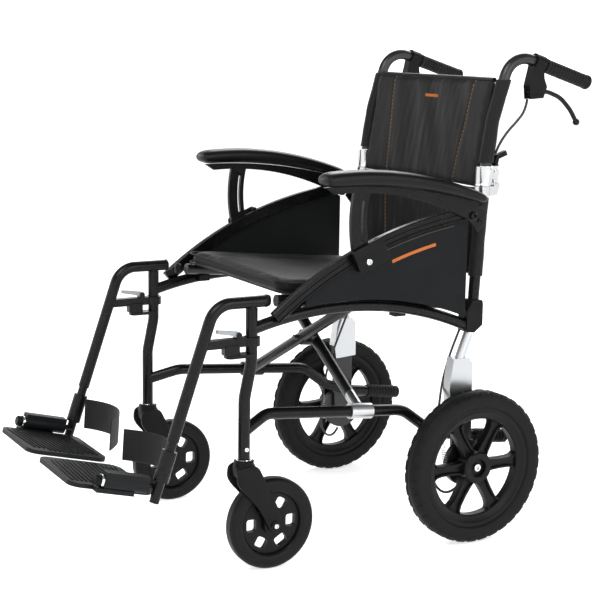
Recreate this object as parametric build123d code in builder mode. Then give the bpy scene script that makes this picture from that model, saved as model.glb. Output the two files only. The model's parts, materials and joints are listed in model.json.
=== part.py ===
from build123d import *
import os
from math import cos, pi, radians, sin, tan

# A folding attendant-pushed wheelchair.  It faces -Y, +X is the occupant's left, +Z is up,
# and the origin is on the floor under the middle of the chair.  All sizes are millimetres.
# The left side is modelled, and the right side is its mirror image.

# ---------------------------------------------------------------- driving dimensions
frame_x = 226.0          # side frame's plane, from the centre line
back_x = frame_x - 4.0   # back posts and canes
tube_r = 11.0            # every frame tube
tube_wall = 2.0
rail_x = frame_x - 2 * tube_r - 4.0           # lower rails and seat rails, clear of the side frame
fit_gap = 0.05           # radial clearance of a pin in its hole
seat_gap = 0.3           # clearance between pieces that only rest on each other
weld_gap = 0.1           # clearance of a coped tube end

wheel_x = frame_x + 47.0 # rear wheel's centre plane
axle_y, axle_z = 264.0, 152.5
wheel_r = 152.5
tyre_w = 42.0
rim_r, rim_inner_r = 119.0, 97.0
hub_r, hub_w = 32.0, 39.0
axle_r = 8.0

caster_r = 87.0
caster_w = 30.0
caster_rim_r = 66.0
caster_hub_r = 19.0
caster_bolt_r = 5.0
stem_y = -217.5          # caster swivel axis
caster_trail = 55.0
post_foot_z = 218.5

post_y = -204.0          # top of the front post, and the leg rest's swing axis
post_bend_z = (330.0, 402.0)
hanger_z = 508.0
post_top_z = hanger_z - tube_r - 0.5

fold_tilt = 5.0          # lower rails and seat rails fall this many degrees to the rear
rail_z = 275.0           # lower rail's axis above y = 0
seat_z = 489.0           # seat rail's axis above y = 0
seat_front_y, seat_rear_y = -160.0, 235.0
brace_a_y, brace_b_y = 45.0, 15.0
sleeve_r, sleeve_len = 15.0, 48.0
brace_boss_r, brace_bolt_r = 16.0, 5.0

joint_low_z, joint_high_z = 412.0, 476.0      # corner joint at the foot of the back post
joint_y0, joint_y1 = 262.0, 299.0
back_lean = 0.0571       # back post, y per z
post_low_y = 287.0
hinge_y, hinge_z = 327.0, 701.0               # back fold pivot
split_gap = 0.6
hinge_pin_r = 3.0
collar_r = 15.0          # chrome collars of the fold hinge
cane_bend = (318.5, 826.0)
cane_corner = (358.0, 957.0)
cane_end = (545.0, 898.0)
cane_bend_r, cane_corner_r = 120.0, 48.0
grip_r, grip_len = 14.5, 116.0

arm_pivot = (254.0, 647.0)
arm_x0 = frame_x + tube_r                     # arm rail's inner face
arm_x1 = arm_x0 + 13.0
arm_h = 24.0
bracket_t = 3.0          # plate between the arm rail and the back post
arm_post_r0, arm_post_r1 = 238.0, 272.0       # sliding post, an arc about the pivot
arm_post_w = 8.0
arm_slot_r0, arm_slot_r1 = 246.5, 252.0       # height-setting slot in the post
pad_x0 = arm_x0 + 0.6
pad_x1 = pad_x0 + 51.0
pad_front_y, pad_rear_y = -80.0, 268.0

leg_knee = (-278.0, hanger_z)
leg_foot = (-360.0, 266.0)
knee_r = 45.0
stem_r = tube_r - tube_wall - 0.1
socket_r = 14.0
foot_x = frame_x - 8.0   # footplate hinge
foot_tilt = 14.0         # the hinge rises this many degrees to the front
foot_pin_r = 5.0
plate_len, plate_depth, plate_t = 183.0, 164.0, 8.0
plate_rear = -6.0        # rear edge, along the hinge from the stem's axis
plate_drop = 12.5        # plate's top face below the hinge axis

seat_t = 26.0            # padded seat, lying on the seat rails
sling_t = 11.0           # padded back
lower_sling_z = (520.0, 694.0)
upper_sling_z = (705.0, 905.0)

cable_r = 2.5


# ---------------------------------------------------------------- shared geometry
def side(x):
    """Plane seen from the chair's left: local x is +Y, local y is +Z, and it extrudes to +X."""
    return Plane(origin=(x, 0, 0), x_dir=(0, 1, 0), z_dir=(1, 0, 0))


fold_dir = Vector(0, cos(radians(fold_tilt)), -sin(radians(fold_tilt)))
fold_up = Vector(0, sin(radians(fold_tilt)), cos(radians(fold_tilt)))
foot_dir = Vector(0, -cos(radians(foot_tilt)), sin(radians(foot_tilt)))
foot_up = Vector(0, sin(radians(foot_tilt)), cos(radians(foot_tilt)))


def rail_axis_z(y):
    return rail_z - y * tan(radians(fold_tilt))


def seat_axis_z(y):
    return seat_z - y * tan(radians(fold_tilt))


leg_slope = (leg_knee[0] - leg_foot[0]) / (leg_knee[1] - leg_foot[1])


def leg_y(z):
    return leg_foot[0] + (z - leg_foot[1]) * leg_slope


def back_post_y(z):
    return post_low_y + (z - joint_high_z) * back_lean


def tube(points, radii, radius=tube_r, wall=tube_wall):
    """A bent tube along straight runs joined by tangent arcs; a wall of 0 makes it solid."""
    with BuildPart() as made:
        with BuildLine() as route:
            if radii:
                FilletPolyline(*points, radius=radii)
            else:
                Polyline(*points)
        with BuildSketch(Plane(origin=route.line @ 0, z_dir=route.line % 0)):
            Circle(radius)
            if wall:
                Circle(radius - wall, mode=Mode.SUBTRACT)
        sweep()
    return made.part


def rod(start, end, radius):
    """A solid round bar between two points."""
    axis = Vector(*end) - Vector(*start)
    with BuildPart() as made:
        with BuildSketch(Plane(origin=start, z_dir=axis)):
            Circle(radius)
        extrude(amount=axis.length)
    return made.part


def keep(piece, name):
    piece.label = name
    export_step(piece, f"parts/{name}.step")


def keep_pair(piece, name):
    keep(piece, f"left_{name}")
    keep(mirror(piece, about=Plane.YZ), f"right_{name}")


os.makedirs("parts", exist_ok=True)

# ---------------------------------------------------------------- side frame
# Front post: upright above the caster, leaning back to the leg rest's swing axis.  Its open
# foot is the caster's bearing, and the plate under the leg rest's latch is welded to it.
pivot_plate_z = 408.0
post_run = [
    (frame_x, stem_y, post_foot_z),
    (frame_x, stem_y, post_bend_z[0]),
    (frame_x, post_y, post_bend_z[1] - 6),
    (frame_x, post_y, post_top_z),
]
with BuildPart() as front_post:
    add(tube(post_run, [60, 60]))
    with BuildSketch(Plane.XY.offset(pivot_plate_z)):
        with Locations((frame_x, post_y - 22)):
            RectangleRounded(26, 62, 9)
        with Locations((frame_x, post_y)):
            Circle(tube_r - 1, mode=Mode.SUBTRACT)
        with Locations((frame_x, post_y - 40)):
            Circle(4, mode=Mode.SUBTRACT)
    extrude(amount=6)
keep_pair(front_post.part, "front_post")

# Upper rail: one arch from the front post to the corner joint, with two saddles that the
# seat rail drops into.
arch = [(post_y, 457.0), (20.0, 484.0), (joint_y0 + 3, 427.0)]
with BuildPart() as upper_rail:
    with BuildLine() as arch_line:
        ThreePointArc(*[(frame_x, y, z) for y, z in arch])
    with BuildSketch(Plane(origin=arch_line.line @ 0, z_dir=arch_line.line % 0)):
        Circle(tube_r)
        Circle(tube_r - tube_wall, mode=Mode.SUBTRACT)
    sweep()
    for saddle_y in (-100.0, 120.0):
        saddle_top = seat_axis_z(saddle_y) - tube_r - 1.5
        with BuildSketch(Plane.XY.offset(saddle_top - 12)):
            with Locations((rail_x + 8, saddle_y)):
                Rectangle(22, 24)
        extrude(amount=12)
    add(rod((frame_x, post_y, 400), (frame_x, post_y, post_top_z), tube_r + weld_gap), mode=Mode.SUBTRACT)
    with BuildSketch(side(0)):
        with Locations((joint_y0 + 50 - weld_gap, 430)):
            Rectangle(100, 100)
    extrude(amount=400, mode=Mode.SUBTRACT)
keep_pair(upper_rail.part, "upper_rail")

# Lower rail: leaves the front post, carries the cross-brace on its straight run, drops
# behind the rear wheel and ends as the tipping lever.
lower_run = [
    (frame_x, stem_y, 268.0),
    (rail_x, -158.0, rail_axis_z(-158.0)),
    (rail_x, 142.0, rail_axis_z(142.0)),
    (rail_x + 3, 200.0, 219.0),
    (rail_x + 5, 262.0, 199.0),
    (rail_x + 5, 386.0, 182.0),
]
with BuildPart() as lower_rail:
    add(tube(lower_run, [45, 60, 60, 90]))
    add(rod((frame_x, stem_y, 220), (frame_x, stem_y, 320), tube_r + weld_gap), mode=Mode.SUBTRACT)
keep_pair(lower_rail.part, "lower_rail")

# Corner joint: a moulded block that holds the arch, the back post and the rear leg.
with BuildPart() as corner_joint:
    with BuildSketch(side(back_x - 13)):
        with BuildLine():
            Polyline(
                (joint_y0, joint_low_z + 2),
                (joint_y0 + 18, joint_low_z),
                (joint_y1, joint_low_z + 14),
                (joint_y1, joint_high_z - 8),
                (joint_y1 - 2, joint_high_z),
                (joint_y1 - 25, joint_high_z),
                (joint_y0, joint_high_z - 20),
                close=True,
            )
        make_face()
    extrude(amount=30)
    fillet(corner_joint.edges().filter_by(Axis.X), 2.5)
keep_pair(corner_joint.part, "corner_joint")

# Back post: from the corner joint up to the chrome fold hinge.
split_z = hinge_z - 2
post_top = (back_x, back_post_y(split_z + 4), split_z + 4)
with BuildPart() as back_post:
    add(tube([(back_x, back_post_y(joint_high_z - 4), joint_high_z - 4), post_top], None))
    split(bisect_by=Plane.XY.offset(joint_high_z + weld_gap), keep=Keep.TOP)
    split(bisect_by=Plane.XY.offset(split_z - split_gap), keep=Keep.BOTTOM)
keep_pair(back_post.part, "back_post")

# Fold hinge, lower half: a collar on the back post with two ears and the pivot pin.
ear_in, ear_out = 5.0, 10.0
with BuildPart() as back_hinge:
    with BuildSketch(Plane.XY.offset(split_z - 20)):
        with Locations((back_x, back_post_y(split_z - 10))):
            Circle(collar_r)
    extrude(amount=20 - split_gap)
    for inner, outer in ((ear_in, ear_out), (-ear_out, -ear_in)):
        with BuildSketch(side(back_x + inner)):
            with Locations((hinge_y, hinge_z)):
                Circle(7)
            with BuildLine():
                Polyline(
                    (back_post_y(split_z) + 6, split_z - split_gap),
                    (hinge_y - 7 + 0.5, split_z - split_gap),
                    (hinge_y - 7 + 0.5, hinge_z),
                    (hinge_y + 7, hinge_z),
                    (hinge_y + 1, split_z - 19),
                    (back_post_y(split_z) + 6, split_z - 19),
                    close=True,
                )
            make_face()
        extrude(amount=outer - inner)
    add(rod((back_x, back_post_y(600), 600), (back_x, back_post_y(720), 720), tube_r + weld_gap),
        mode=Mode.SUBTRACT)
    add(rod((back_x - ear_out - 2, hinge_y, hinge_z), (back_x + ear_out + 2, hinge_y, hinge_z), hinge_pin_r))
keep_pair(back_hinge.part, "back_hinge")

# Axle mount: leg tube, bolted casting, drum brake plate and the axle that carries the wheel.
drum_r = 46.0
mount_x0, mount_x1 = frame_x - 6.0, frame_x + 10.0
wheel_in = wheel_x - tyre_w / 2
with BuildPart() as axle_mount:
    add(tube([(back_x + 2, 277.0, joint_low_z - 3), (back_x + 2, 254.0, 352.0)], None, 10.0, 2.0))
    with BuildSketch(side(mount_x0 - 8)):
        with BuildLine():
            Polyline((236, 362), (272, 362), (281, 350), (282, 276), (232, 272), (228, 300), close=True)
        make_face()
    extrude(amount=mount_x1 - mount_x0 + 8)
    with BuildSketch(side(mount_x0 + 8)):
        with BuildLine():
            Polyline((234, 280), (282, 280), (axle_y + 20, axle_z), (axle_y - 24, axle_z), close=True)
        make_face()
        with Locations((axle_y, axle_z)):
            Circle(26)
    extrude(amount=8)
    with BuildSketch(side(mount_x1)):
        with Locations((axle_y, axle_z)):
            Circle(drum_r)
    extrude(amount=wheel_in - 3 - mount_x1)
    with BuildSketch(side(rail_x + 5 + tube_r + seat_gap)):
        with Locations((axle_y - 2, 197)):
            Circle(9)
    extrude(amount=mount_x0 + 8 - rail_x - 5 - tube_r - seat_gap)
    add(rod((mount_x1, axle_y, axle_z), (wheel_x + hub_w / 2 - 9, axle_y, axle_z), axle_r))
keep_pair(axle_mount.part, "axle_mount")

# Lower brake cable: from the fold hinge down behind the back post, inboard of the leg and
# round into the drum.
lower_cable_run = [
    (207, 311, 676), (207, 308, 622), (206, 304, 565), (204, 299, 508), (203, 288, 452),
    (202, 267, 405), (203, 246, 358), (208, 228, 308), (218, 216, 262), (222, 208, 215),
    (222.5, 203, 172), (223, 200, 138), (225, 206, 108), (229, 224, 90), (234, 244, 92), (238, 254, 104),
]


def corner_radii(points):
    """The largest arcs the runs allow: 0.45 of the shorter run over the tangent of half the turn."""
    found = []
    for before, here, after in zip(points, points[1:], points[2:]):
        arriving, leaving = Vector(*here) - Vector(*before), Vector(*after) - Vector(*here)
        turn = radians(arriving.get_angle(leaving))
        found.append(0.45 * min(arriving.length, leaving.length) / tan(turn / 2))
    return found


def cable(points):
    radii = corner_radii(points)
    print("cable radii", [round(r) for r in radii])
    made = tube(points, radii, cable_r, 0)
    length = sum(edge.length for edge in FilletPolyline(*points, radius=radii).edges())
    print("cable length", round(length, 1), "volume ratio", round(made.volume / (length * pi * cable_r**2), 4))
    return made


keep_pair(cable(lower_cable_run), "lower_cable")

# ---------------------------------------------------------------- wheels
# Rear wheel: hub, six channelled spokes and the rim, one moulding.
spokes = 6
with BuildPart() as rear_wheel:
    with BuildSketch(side(wheel_x - 16)):
        with Locations((axle_y, axle_z)):
            Circle(rim_r)
            Circle(rim_inner_r, mode=Mode.SUBTRACT)
    extrude(amount=32)
    with BuildSketch(side(wheel_x - 9)):
        with Locations((axle_y, axle_z)):
            Circle(rim_inner_r + 1)
            Circle(hub_r - 1, mode=Mode.SUBTRACT)
    extrude(amount=18)
    for k in range(spokes):
        middle = radians(60 * k + 30)
        corners = []
        for radius, half in ((hub_r + 8, 9), (rim_inner_r, 22), (rim_inner_r, -22), (hub_r + 8, -9)):
            corners.append((
                axle_y + radius * cos(middle + radians(half)),
                axle_z + radius * sin(middle + radians(half)),
            ))
        with BuildSketch(side(wheel_x - 20)):
            with BuildLine():
                Polyline(*corners, close=True)
            make_face()
        extrude(amount=40, mode=Mode.SUBTRACT)
    with BuildSketch(side(wheel_x - hub_w / 2 + 4)):
        with Locations((axle_y, axle_z)):
            Circle(hub_r)
    extrude(amount=hub_w - 4)
    with BuildSketch(side(wheel_x - hub_w)):
        with Locations((axle_y, axle_z)):
            Circle(axle_r + fit_gap)
    extrude(amount=2 * hub_w, mode=Mode.SUBTRACT)
    with BuildSketch(side(wheel_x + hub_w / 2 - 9)):
        with Locations((axle_y, axle_z)):
            Circle(18)
    extrude(amount=20, mode=Mode.SUBTRACT)
keep_pair(rear_wheel.part, "rear_wheel")


def tyre_ring(centre_x, y, z, outer, inner, width, shoulder):
    """A tyre: a ring whose tread and shoulders are rounded."""
    with BuildPart() as ring:
        with BuildSketch(Plane(origin=(centre_x, y, z), x_dir=(0, 0, 1), z_dir=(0, 1, 0))):
            with Locations(((outer + inner) / 2, 0)):
                RectangleRounded(outer - inner, width, shoulder)
        revolve(axis=Axis((centre_x, y, z), (1, 0, 0)))
    return ring.part


keep_pair(
    tyre_ring(wheel_x, axle_y, axle_z, wheel_r, rim_r + fit_gap, tyre_w, 12.0), "rear_tyre"
)

# Caster wheel: hub, web with six windows, rim and solid tyre.
caster_y, caster_z = stem_y + caster_trail, caster_r
with BuildPart() as caster_wheel:
    add(tyre_ring(frame_x, caster_y, caster_z, caster_r, caster_rim_r - 8, caster_w, 9.0))
    with BuildSketch(side(frame_x - 6)):
        with Locations((caster_y, caster_z)):
            Circle(caster_rim_r)
        for k in range(6):
            angle = radians(60 * k)
            with Locations(Location((
                caster_y + 41 * cos(angle), caster_z + 41 * sin(angle), 0), (0, 0, 60 * k))):
                RectangleRounded(20, 24, 5, mode=Mode.SUBTRACT)
    extrude(amount=12)
    with BuildSketch(side(frame_x - caster_w / 2 - 1)):
        with Locations((caster_y, caster_z)):
            Circle(caster_hub_r)
    extrude(amount=caster_w + 2)
    with BuildSketch(side(frame_x - caster_w)):
        with Locations((caster_y, caster_z)):
            Circle(caster_bolt_r + fit_gap)
    extrude(amount=2 * caster_w, mode=Mode.SUBTRACT)
keep_pair(caster_wheel.part, "caster_wheel")

# Caster fork: bearing stem, crown and two swept legs with the wheel's bolt across them.
leg_in, leg_out = caster_w / 2 + 2.5, caster_w / 2 + 8.5
crown_low, crown_high = caster_r + 95, post_foot_z - 4.5
with BuildPart() as caster_fork:
    with BuildSketch(Plane.XY.offset(crown_low)):
        with Locations((frame_x, stem_y + 2)):
            RectangleRounded(2 * leg_out, 42, 16)
    extrude(amount=crown_high - crown_low)
    fillet(caster_fork.faces().sort_by(Axis.Z)[-1].edges(), 5)
    for start in (leg_in, -leg_out):
        with BuildSketch(side(frame_x + start)):
            with BuildLine():
                Polyline(
                    (stem_y - 17, crown_low + 8), (stem_y + 22, crown_low + 8),
                    (stem_y + 31, crown_low - 14), (caster_y + 3, 136), (caster_y + 15, caster_z + 2),
                    (caster_y + 8, caster_z - 13), (caster_y - 8, caster_z - 13),
                    (caster_y - 15, caster_z + 3), (caster_y - 30, 128), (stem_y - 8, 156),
                    close=True,
                )
            make_face()
        extrude(amount=leg_out - leg_in)
    fillet(caster_fork.edges().filter_by(Axis.X).group_by(Axis.Z)[0], 6)
    with BuildSketch(Plane.XY.offset(crown_high - 1)):
        with Locations((frame_x, stem_y)):
            Circle(tube_r)
    extrude(amount=post_foot_z - seat_gap - crown_high + 1)
    with BuildSketch(Plane.XY.offset(crown_high - 1)):
        with Locations((frame_x, stem_y)):
            Circle(tube_r - tube_wall - fit_gap)
    extrude(amount=90)
    add(rod((frame_x - leg_out - 4, caster_y, caster_z), (frame_x + leg_out + 4, caster_y, caster_z),
            caster_bolt_r))
    with BuildSketch(side(frame_x + leg_out)):
        with Locations((caster_y, caster_z)):
            Circle(9)
    extrude(amount=4)
    with BuildSketch(side(frame_x - leg_out - 4)):
        with Locations((caster_y, caster_z)):
            Circle(9)
    extrude(amount=4)
keep_pair(caster_fork.part, "caster_fork")

# ---------------------------------------------------------------- armrest
rail_arc = [(-166.0, 477.0), (25.0, 592.0), (arm_pivot[0] - 4, arm_pivot[1] + 3)]


def arc_centre(points):
    """Centre and radius of the circle through three points."""
    with BuildLine(mode=Mode.PRIVATE) as made:
        arc = ThreePointArc(*[(a, b) for a, b in points])
    return arc.arc_center, arc.radius


# Arm rail: an arched flat-oval rail, bracketed to the back post, with the clamp that holds
# the sliding post.
clamp_y = (-44.0, 48.0)
clamp_z = (553.0, 603.0)
with BuildPart() as arm_rail:
    with BuildLine() as rail_line:
        ThreePointArc(*[((arm_x0 + arm_x1) / 2, y, z) for y, z in rail_arc])
    with BuildSketch(Plane(origin=rail_line.line @ 0, x_dir=(1, 0, 0), z_dir=rail_line.line % 0)):
        RectangleRounded(arm_x1 - arm_x0, arm_h, 5)
    sweep()
    with BuildSketch(side(arm_x0)):
        with Locations(arm_pivot):
            Circle(arm_h / 2 + 1)
    extrude(amount=arm_x1 - arm_x0)
    with BuildSketch(side(back_x + tube_r + weld_gap)):
        with Locations(arm_pivot):
            Circle(arm_h / 2 + 1)
    extrude(amount=arm_x0 - back_x - tube_r - weld_gap)
    with BuildSketch(side(back_x + tube_r + weld_gap)):
        with BuildLine():
            Polyline(
                (arm_pivot[0] - 8, arm_pivot[1] - 8), (arm_pivot[0], arm_pivot[1] + 13),
                (back_post_y(650) + 9, 662), (back_post_y(610) + 9, 612), (back_post_y(610) - 9, 608),
                close=True,
            )
        make_face()
    extrude(amount=bracket_t)
    with BuildSketch(side(arm_x1 - 2)):
        with Locations(((clamp_y[0] + clamp_y[1]) / 2, (clamp_z[0] + clamp_z[1]) / 2)):
            RectangleRounded(clamp_y[1] - clamp_y[0], clamp_z[1] - clamp_z[0], 9)
    extrude(amount=18)
    with BuildSketch(side(arm_x1 + 0.3)):
        with Locations(arm_pivot):
            Circle(arm_post_r1 + seat_gap)
            Circle(arm_post_r0 - seat_gap, mode=Mode.SUBTRACT)
    extrude(amount=arm_post_w + 0.7, mode=Mode.SUBTRACT)
    add(rod((arm_x0, *arm_pivot), (arm_x1 + arm_post_w + 5, *arm_pivot), 4))
    with BuildSketch(side(arm_x1 + 0.8 + arm_post_w + 0.2)):
        with Locations(arm_pivot):
            Circle(7)
    extrude(amount=4)
keep_pair(arm_rail.part, "arm_rail")

# Side panel: fills the space between the arm rail and the upper rail.
panel_x, panel_t = (arm_x0 + arm_x1) / 2 - 1.5, 3.0
rail_mid, rail_radius = arc_centre(rail_arc)
arch_mid, arch_radius = arc_centre(arch)
with BuildPart() as side_panel:
    with BuildSketch(side(panel_x)):
        with Locations(rail_mid):
            Circle(rail_radius - arm_h / 2 - seat_gap)
        with BuildSketch(side(panel_x), mode=Mode.INTERSECT):
            with Locations((75, 560)):
                Rectangle(354, 240)
        with Locations(arch_mid):
            Circle(arch_radius + tube_r + 3, mode=Mode.SUBTRACT)
        with Locations(arm_pivot):
            Circle(arm_h / 2 + 1 + seat_gap, mode=Mode.SUBTRACT)
    extrude(amount=panel_t)
keep_pair(side_panel.part, "side_panel")

# Armrest: the pad on its sliding post.  The post is an arc about the rear pivot, so it
# draws out of the clamp as the pad is flipped up and back.
arm_plate_x = arm_x1 + 0.8
pad_low = [(pad_front_y + 6, 713.0), (92.0, 706.0), (pad_rear_y, 670.0)]
pad_high = [(pad_front_y + 2, 742.0), (95.0, 737.0), (pad_rear_y + 3, 690.0)]
with BuildPart() as arm_post:
    with BuildSketch(side(arm_plate_x)):
        with Locations(arm_pivot):
            Circle(arm_post_r1)
            Circle(arm_post_r0, mode=Mode.SUBTRACT)
        with BuildSketch(side(arm_plate_x), mode=Mode.INTERSECT):
            with Locations((arm_pivot[0] - 255, 632)):
                Rectangle(80, 150)
    extrude(amount=arm_post_w)
    with BuildSketch(side(arm_plate_x)):
        with Locations(arm_pivot):
            Circle(arm_slot_r1)
            Circle(arm_slot_r0, mode=Mode.SUBTRACT)
        with BuildSketch(side(arm_plate_x), mode=Mode.INTERSECT):
            with Locations((arm_pivot[0] - 250, 647)):
                Rectangle(60, 78)
    extrude(amount=arm_post_w, mode=Mode.SUBTRACT)
    with BuildSketch(side(arm_plate_x)):
        with BuildLine():
            ThreePointArc(*[(y, z - 0.2) for y, z in pad_low])
            Line((pad_low[2][0], pad_low[2][1] - 0.2), (arm_pivot[0] + 12, arm_pivot[1] - 4))
            Line((arm_pivot[0] + 12, arm_pivot[1] - 4), (arm_pivot[0] - 10, arm_pivot[1] - 8))
            ThreePointArc(
                (arm_pivot[0] - 10, arm_pivot[1] - 8), (90.0, 691.0), (pad_low[0][0] + 20, 700.0)
            )
            Line((pad_low[0][0] + 20, 700.0), (pad_low[0][0], pad_low[0][1] - 0.2))
        make_face()
    extrude(amount=arm_post_w)
    with BuildSketch(side(arm_plate_x)):
        with Locations(arm_pivot):
            Circle(4 + fit_gap)
    extrude(amount=arm_post_w, mode=Mode.SUBTRACT)
keep_pair(arm_post.part, "arm_post")

with BuildPart() as arm_pad:
    with BuildSketch(side(pad_x0)):
        with BuildLine():
            ThreePointArc(*pad_low)
            Line(pad_low[2], pad_high[2])
            ThreePointArc(*reversed(pad_high))
            Line(pad_high[0], pad_low[0])
        make_face()
    extrude(amount=pad_x1 - pad_x0)
    fillet(arm_pad.edges().group_by(SortBy.LENGTH)[-1], 6)
keep_pair(arm_pad.part, "arm_pad")

# ---------------------------------------------------------------- folding back
# Cane: rises from the fold hinge and bends back into the push handle.  The chrome upper
# half of the hinge is part of it.
cane_run = [
    (back_x, back_post_y(split_z) - 1, split_z - 6), (back_x, *cane_bend), (back_x, *cane_corner),
    (back_x, *cane_end),
]
with BuildPart() as cane:
    add(tube(cane_run, [cane_bend_r, cane_corner_r]))
    split(bisect_by=Plane.XY.offset(split_z), keep=Keep.TOP)
    with BuildSketch(Plane.XY.offset(split_z)):
        with Locations((back_x, back_post_y(split_z) + 1)):
            Circle(collar_r)
            Circle(tube_r - 1, mode=Mode.SUBTRACT)
    extrude(amount=38)
    with BuildSketch(side(back_x - ear_in + 0.3)):
        with Locations((hinge_y, hinge_z)):
            Circle(7)
        with BuildLine():
            Polyline(
                (hinge_y - 14, split_z + 2), (hinge_y, split_z + 2), (hinge_y + 6, hinge_z + 3),
                (hinge_y - 6, split_z + 30), (hinge_y - 14, split_z + 30),
                close=True,
            )
        make_face()
    extrude(amount=2 * ear_in - 0.6)
    with BuildSketch(side(back_x - 20)):
        with Locations((hinge_y, hinge_z)):
            Circle(hinge_pin_r + fit_gap)
    extrude(amount=40, mode=Mode.SUBTRACT)
    latch_y, latch_z = hinge_y - 1.0, split_z + 38.0
    for start in (-ear_in - 4, ear_in):
        with BuildSketch(side(back_x + start)):
            with BuildLine():
                Polyline(
                    (latch_y - 14, latch_z - 14), (latch_y - 14, latch_z - 1), (latch_y + 4, latch_z + 4),
                    (latch_y + 4, latch_z - 4), close=True,
                )
            make_face()
        extrude(amount=4)
    add(rod((back_x - ear_in - 4, latch_y, latch_z), (back_x + ear_in + 4, latch_y, latch_z), 2))
keep_pair(cane.part, "cane")

# Grip: a rubber sleeve closed at the end.
handle_dir = Vector(0, cane_end[0] - cane_corner[0], cane_end[1] - cane_corner[1]).normalized()
grip_end = Vector(back_x, *cane_end) + handle_dir * 4
grip_start = grip_end - handle_dir * grip_len
with BuildPart() as grip:
    with BuildSketch(Plane(origin=grip_start, z_dir=handle_dir)):
        Circle(grip_r)
    extrude(amount=grip_len)
    fillet(grip.edges().sort_by(Axis.Y)[-1], 4)
    with BuildSketch(Plane(origin=grip_start, z_dir=handle_dir)):
        Circle(tube_r + fit_gap)
    extrude(amount=grip_len - 4, mode=Mode.SUBTRACT)
keep_pair(grip.part, "grip")

# Brake clamp: a collar on the cane ahead of the grip with the lever's housing below it.
collar_len = 24.0
collar_start = grip_start - handle_dir * (collar_len + 4)
lever_pivot = (407.0, 878.0)
with BuildPart() as brake_clamp:
    with BuildSketch(Plane(origin=collar_start, z_dir=handle_dir)):
        Circle(tube_r + 5)
    extrude(amount=collar_len)
    with BuildSketch(side(back_x - 10)):
        with BuildLine():
            Polyline((407, 934), (431, 926), (433, 906), (440, 890), (432, 868), (400, 866), (397, 892),
                     close=True)
        make_face()
    extrude(amount=20)
    with BuildSketch(side(back_x - 5.5)):
        with Locations((lever_pivot[0] + 26, lever_pivot[1] - 2)):
            Rectangle(70, 36)
    extrude(amount=11, mode=Mode.SUBTRACT)
    add(rod(collar_start - handle_dir * 20, collar_start + handle_dir * 60, tube_r + fit_gap),
        mode=Mode.SUBTRACT)
    add(rod((back_x - 10, *lever_pivot), (back_x + 10, *lever_pivot), 3))
keep_pair(brake_clamp.part, "brake_clamp")

# Brake lever: pivots in the clamp, curves down behind the grip to a ball end.
lever_run = [
    (back_x, lever_pivot[0] + 6, lever_pivot[1] + 1), (back_x, 446.0, 881.0), (back_x, 482.0, 868.0),
    (back_x, 508.0, 843.0), (back_x, 524.0, 819.0),
]
with BuildPart() as brake_lever:
    add(tube(lever_run, [60, 70, 80], 4.5, 0))
    with BuildSketch(side(back_x - 5.2)):
        with Locations(lever_pivot):
            Circle(8)
    extrude(amount=10.4)
    with Locations(lever_run[-1]):
        Sphere(7)
    with BuildSketch(side(back_x - 10)):
        with Locations(lever_pivot):
            Circle(3 + fit_gap)
    extrude(amount=20, mode=Mode.SUBTRACT)
keep_pair(brake_lever.part, "brake_lever")

# Upper brake cable: from the clamp forward to the cane and down beside it.
upper_cable_run = [
    (217, 404, 865.8), (216.5, 401, 844), (213, 384, 822), (208, 362, 799), (204, 341, 764), (203, 329, 724),
]
keep_pair(cable(upper_cable_run), "upper_cable")

# Back release lever: a sprung paddle behind the cane.
with BuildPart() as back_latch:
    with BuildSketch(side(back_x - ear_in + 0.3)):
        with BuildLine():
            Polyline(
                (latch_y - 3, latch_z - 5), (latch_y + 4, latch_z - 5), (latch_y + 8, latch_z + 14),
                (latch_y + 28, latch_z + 21), (latch_y + 24, latch_z + 30), (latch_y + 3, latch_z + 22),
                (latch_y - 1, latch_z + 10),
                close=True,
            )
        make_face()
        with Locations((latch_y, latch_z)):
            Circle(2 + fit_gap, mode=Mode.SUBTRACT)
    extrude(amount=2 * ear_in - 0.6)
keep_pair(back_latch.part, "back_latch")

# ---------------------------------------------------------------- leg rest
# Hanger: over the front post, round the knee and down to the foot, with the strut, collar
# and latch block that hold it to the post.
strut_z = 436.0
with BuildPart() as hanger_tube:
    add(tube([(frame_x, -177, hanger_z), (frame_x, *leg_knee), (frame_x, *leg_foot)], [knee_r]))
    with BuildSketch(Plane.XY.offset(strut_z - 8)):
        with Locations((frame_x, (leg_y(strut_z) + post_y) / 2)):
            Rectangle(16, post_y - leg_y(strut_z) - 6)
        with Locations((frame_x, post_y)):
            Circle(tube_r + 5)
    extrude(amount=16)
    with BuildSketch(Plane.XY.offset(pivot_plate_z + 6 + seat_gap)):
        with Locations((frame_x, post_y - 42)):
            RectangleRounded(22, 30, 4)
    extrude(amount=strut_z - pivot_plate_z - 10)
    add(rod((frame_x, post_y, 300), (frame_x, post_y, hanger_z - tube_r - 1), tube_r + seat_gap),
        mode=Mode.SUBTRACT)
    add(rod((frame_x, leg_y(strut_z + 40), strut_z + 40), (frame_x, leg_y(strut_z - 60), strut_z - 60),
            tube_r - tube_wall), mode=Mode.SUBTRACT)
    add(rod((frame_x, post_y, post_top_z - 28), (frame_x, post_y, hanger_z - 4), tube_r - tube_wall - fit_gap))
    for start in (-9.0, 5.2):
        with BuildSketch(side(frame_x + start)):
            with Locations((post_y - 28, strut_z + 14)):
                Circle(5)
            with Locations((post_y - 28, strut_z + 10)):
                Rectangle(10, 8)
        extrude(amount=3.8)
    add(rod((frame_x - 9, post_y - 28, strut_z + 14), (frame_x + 9, post_y - 28, strut_z + 14), 2))
keep_pair(hanger_tube.part, "hanger_tube")

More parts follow.
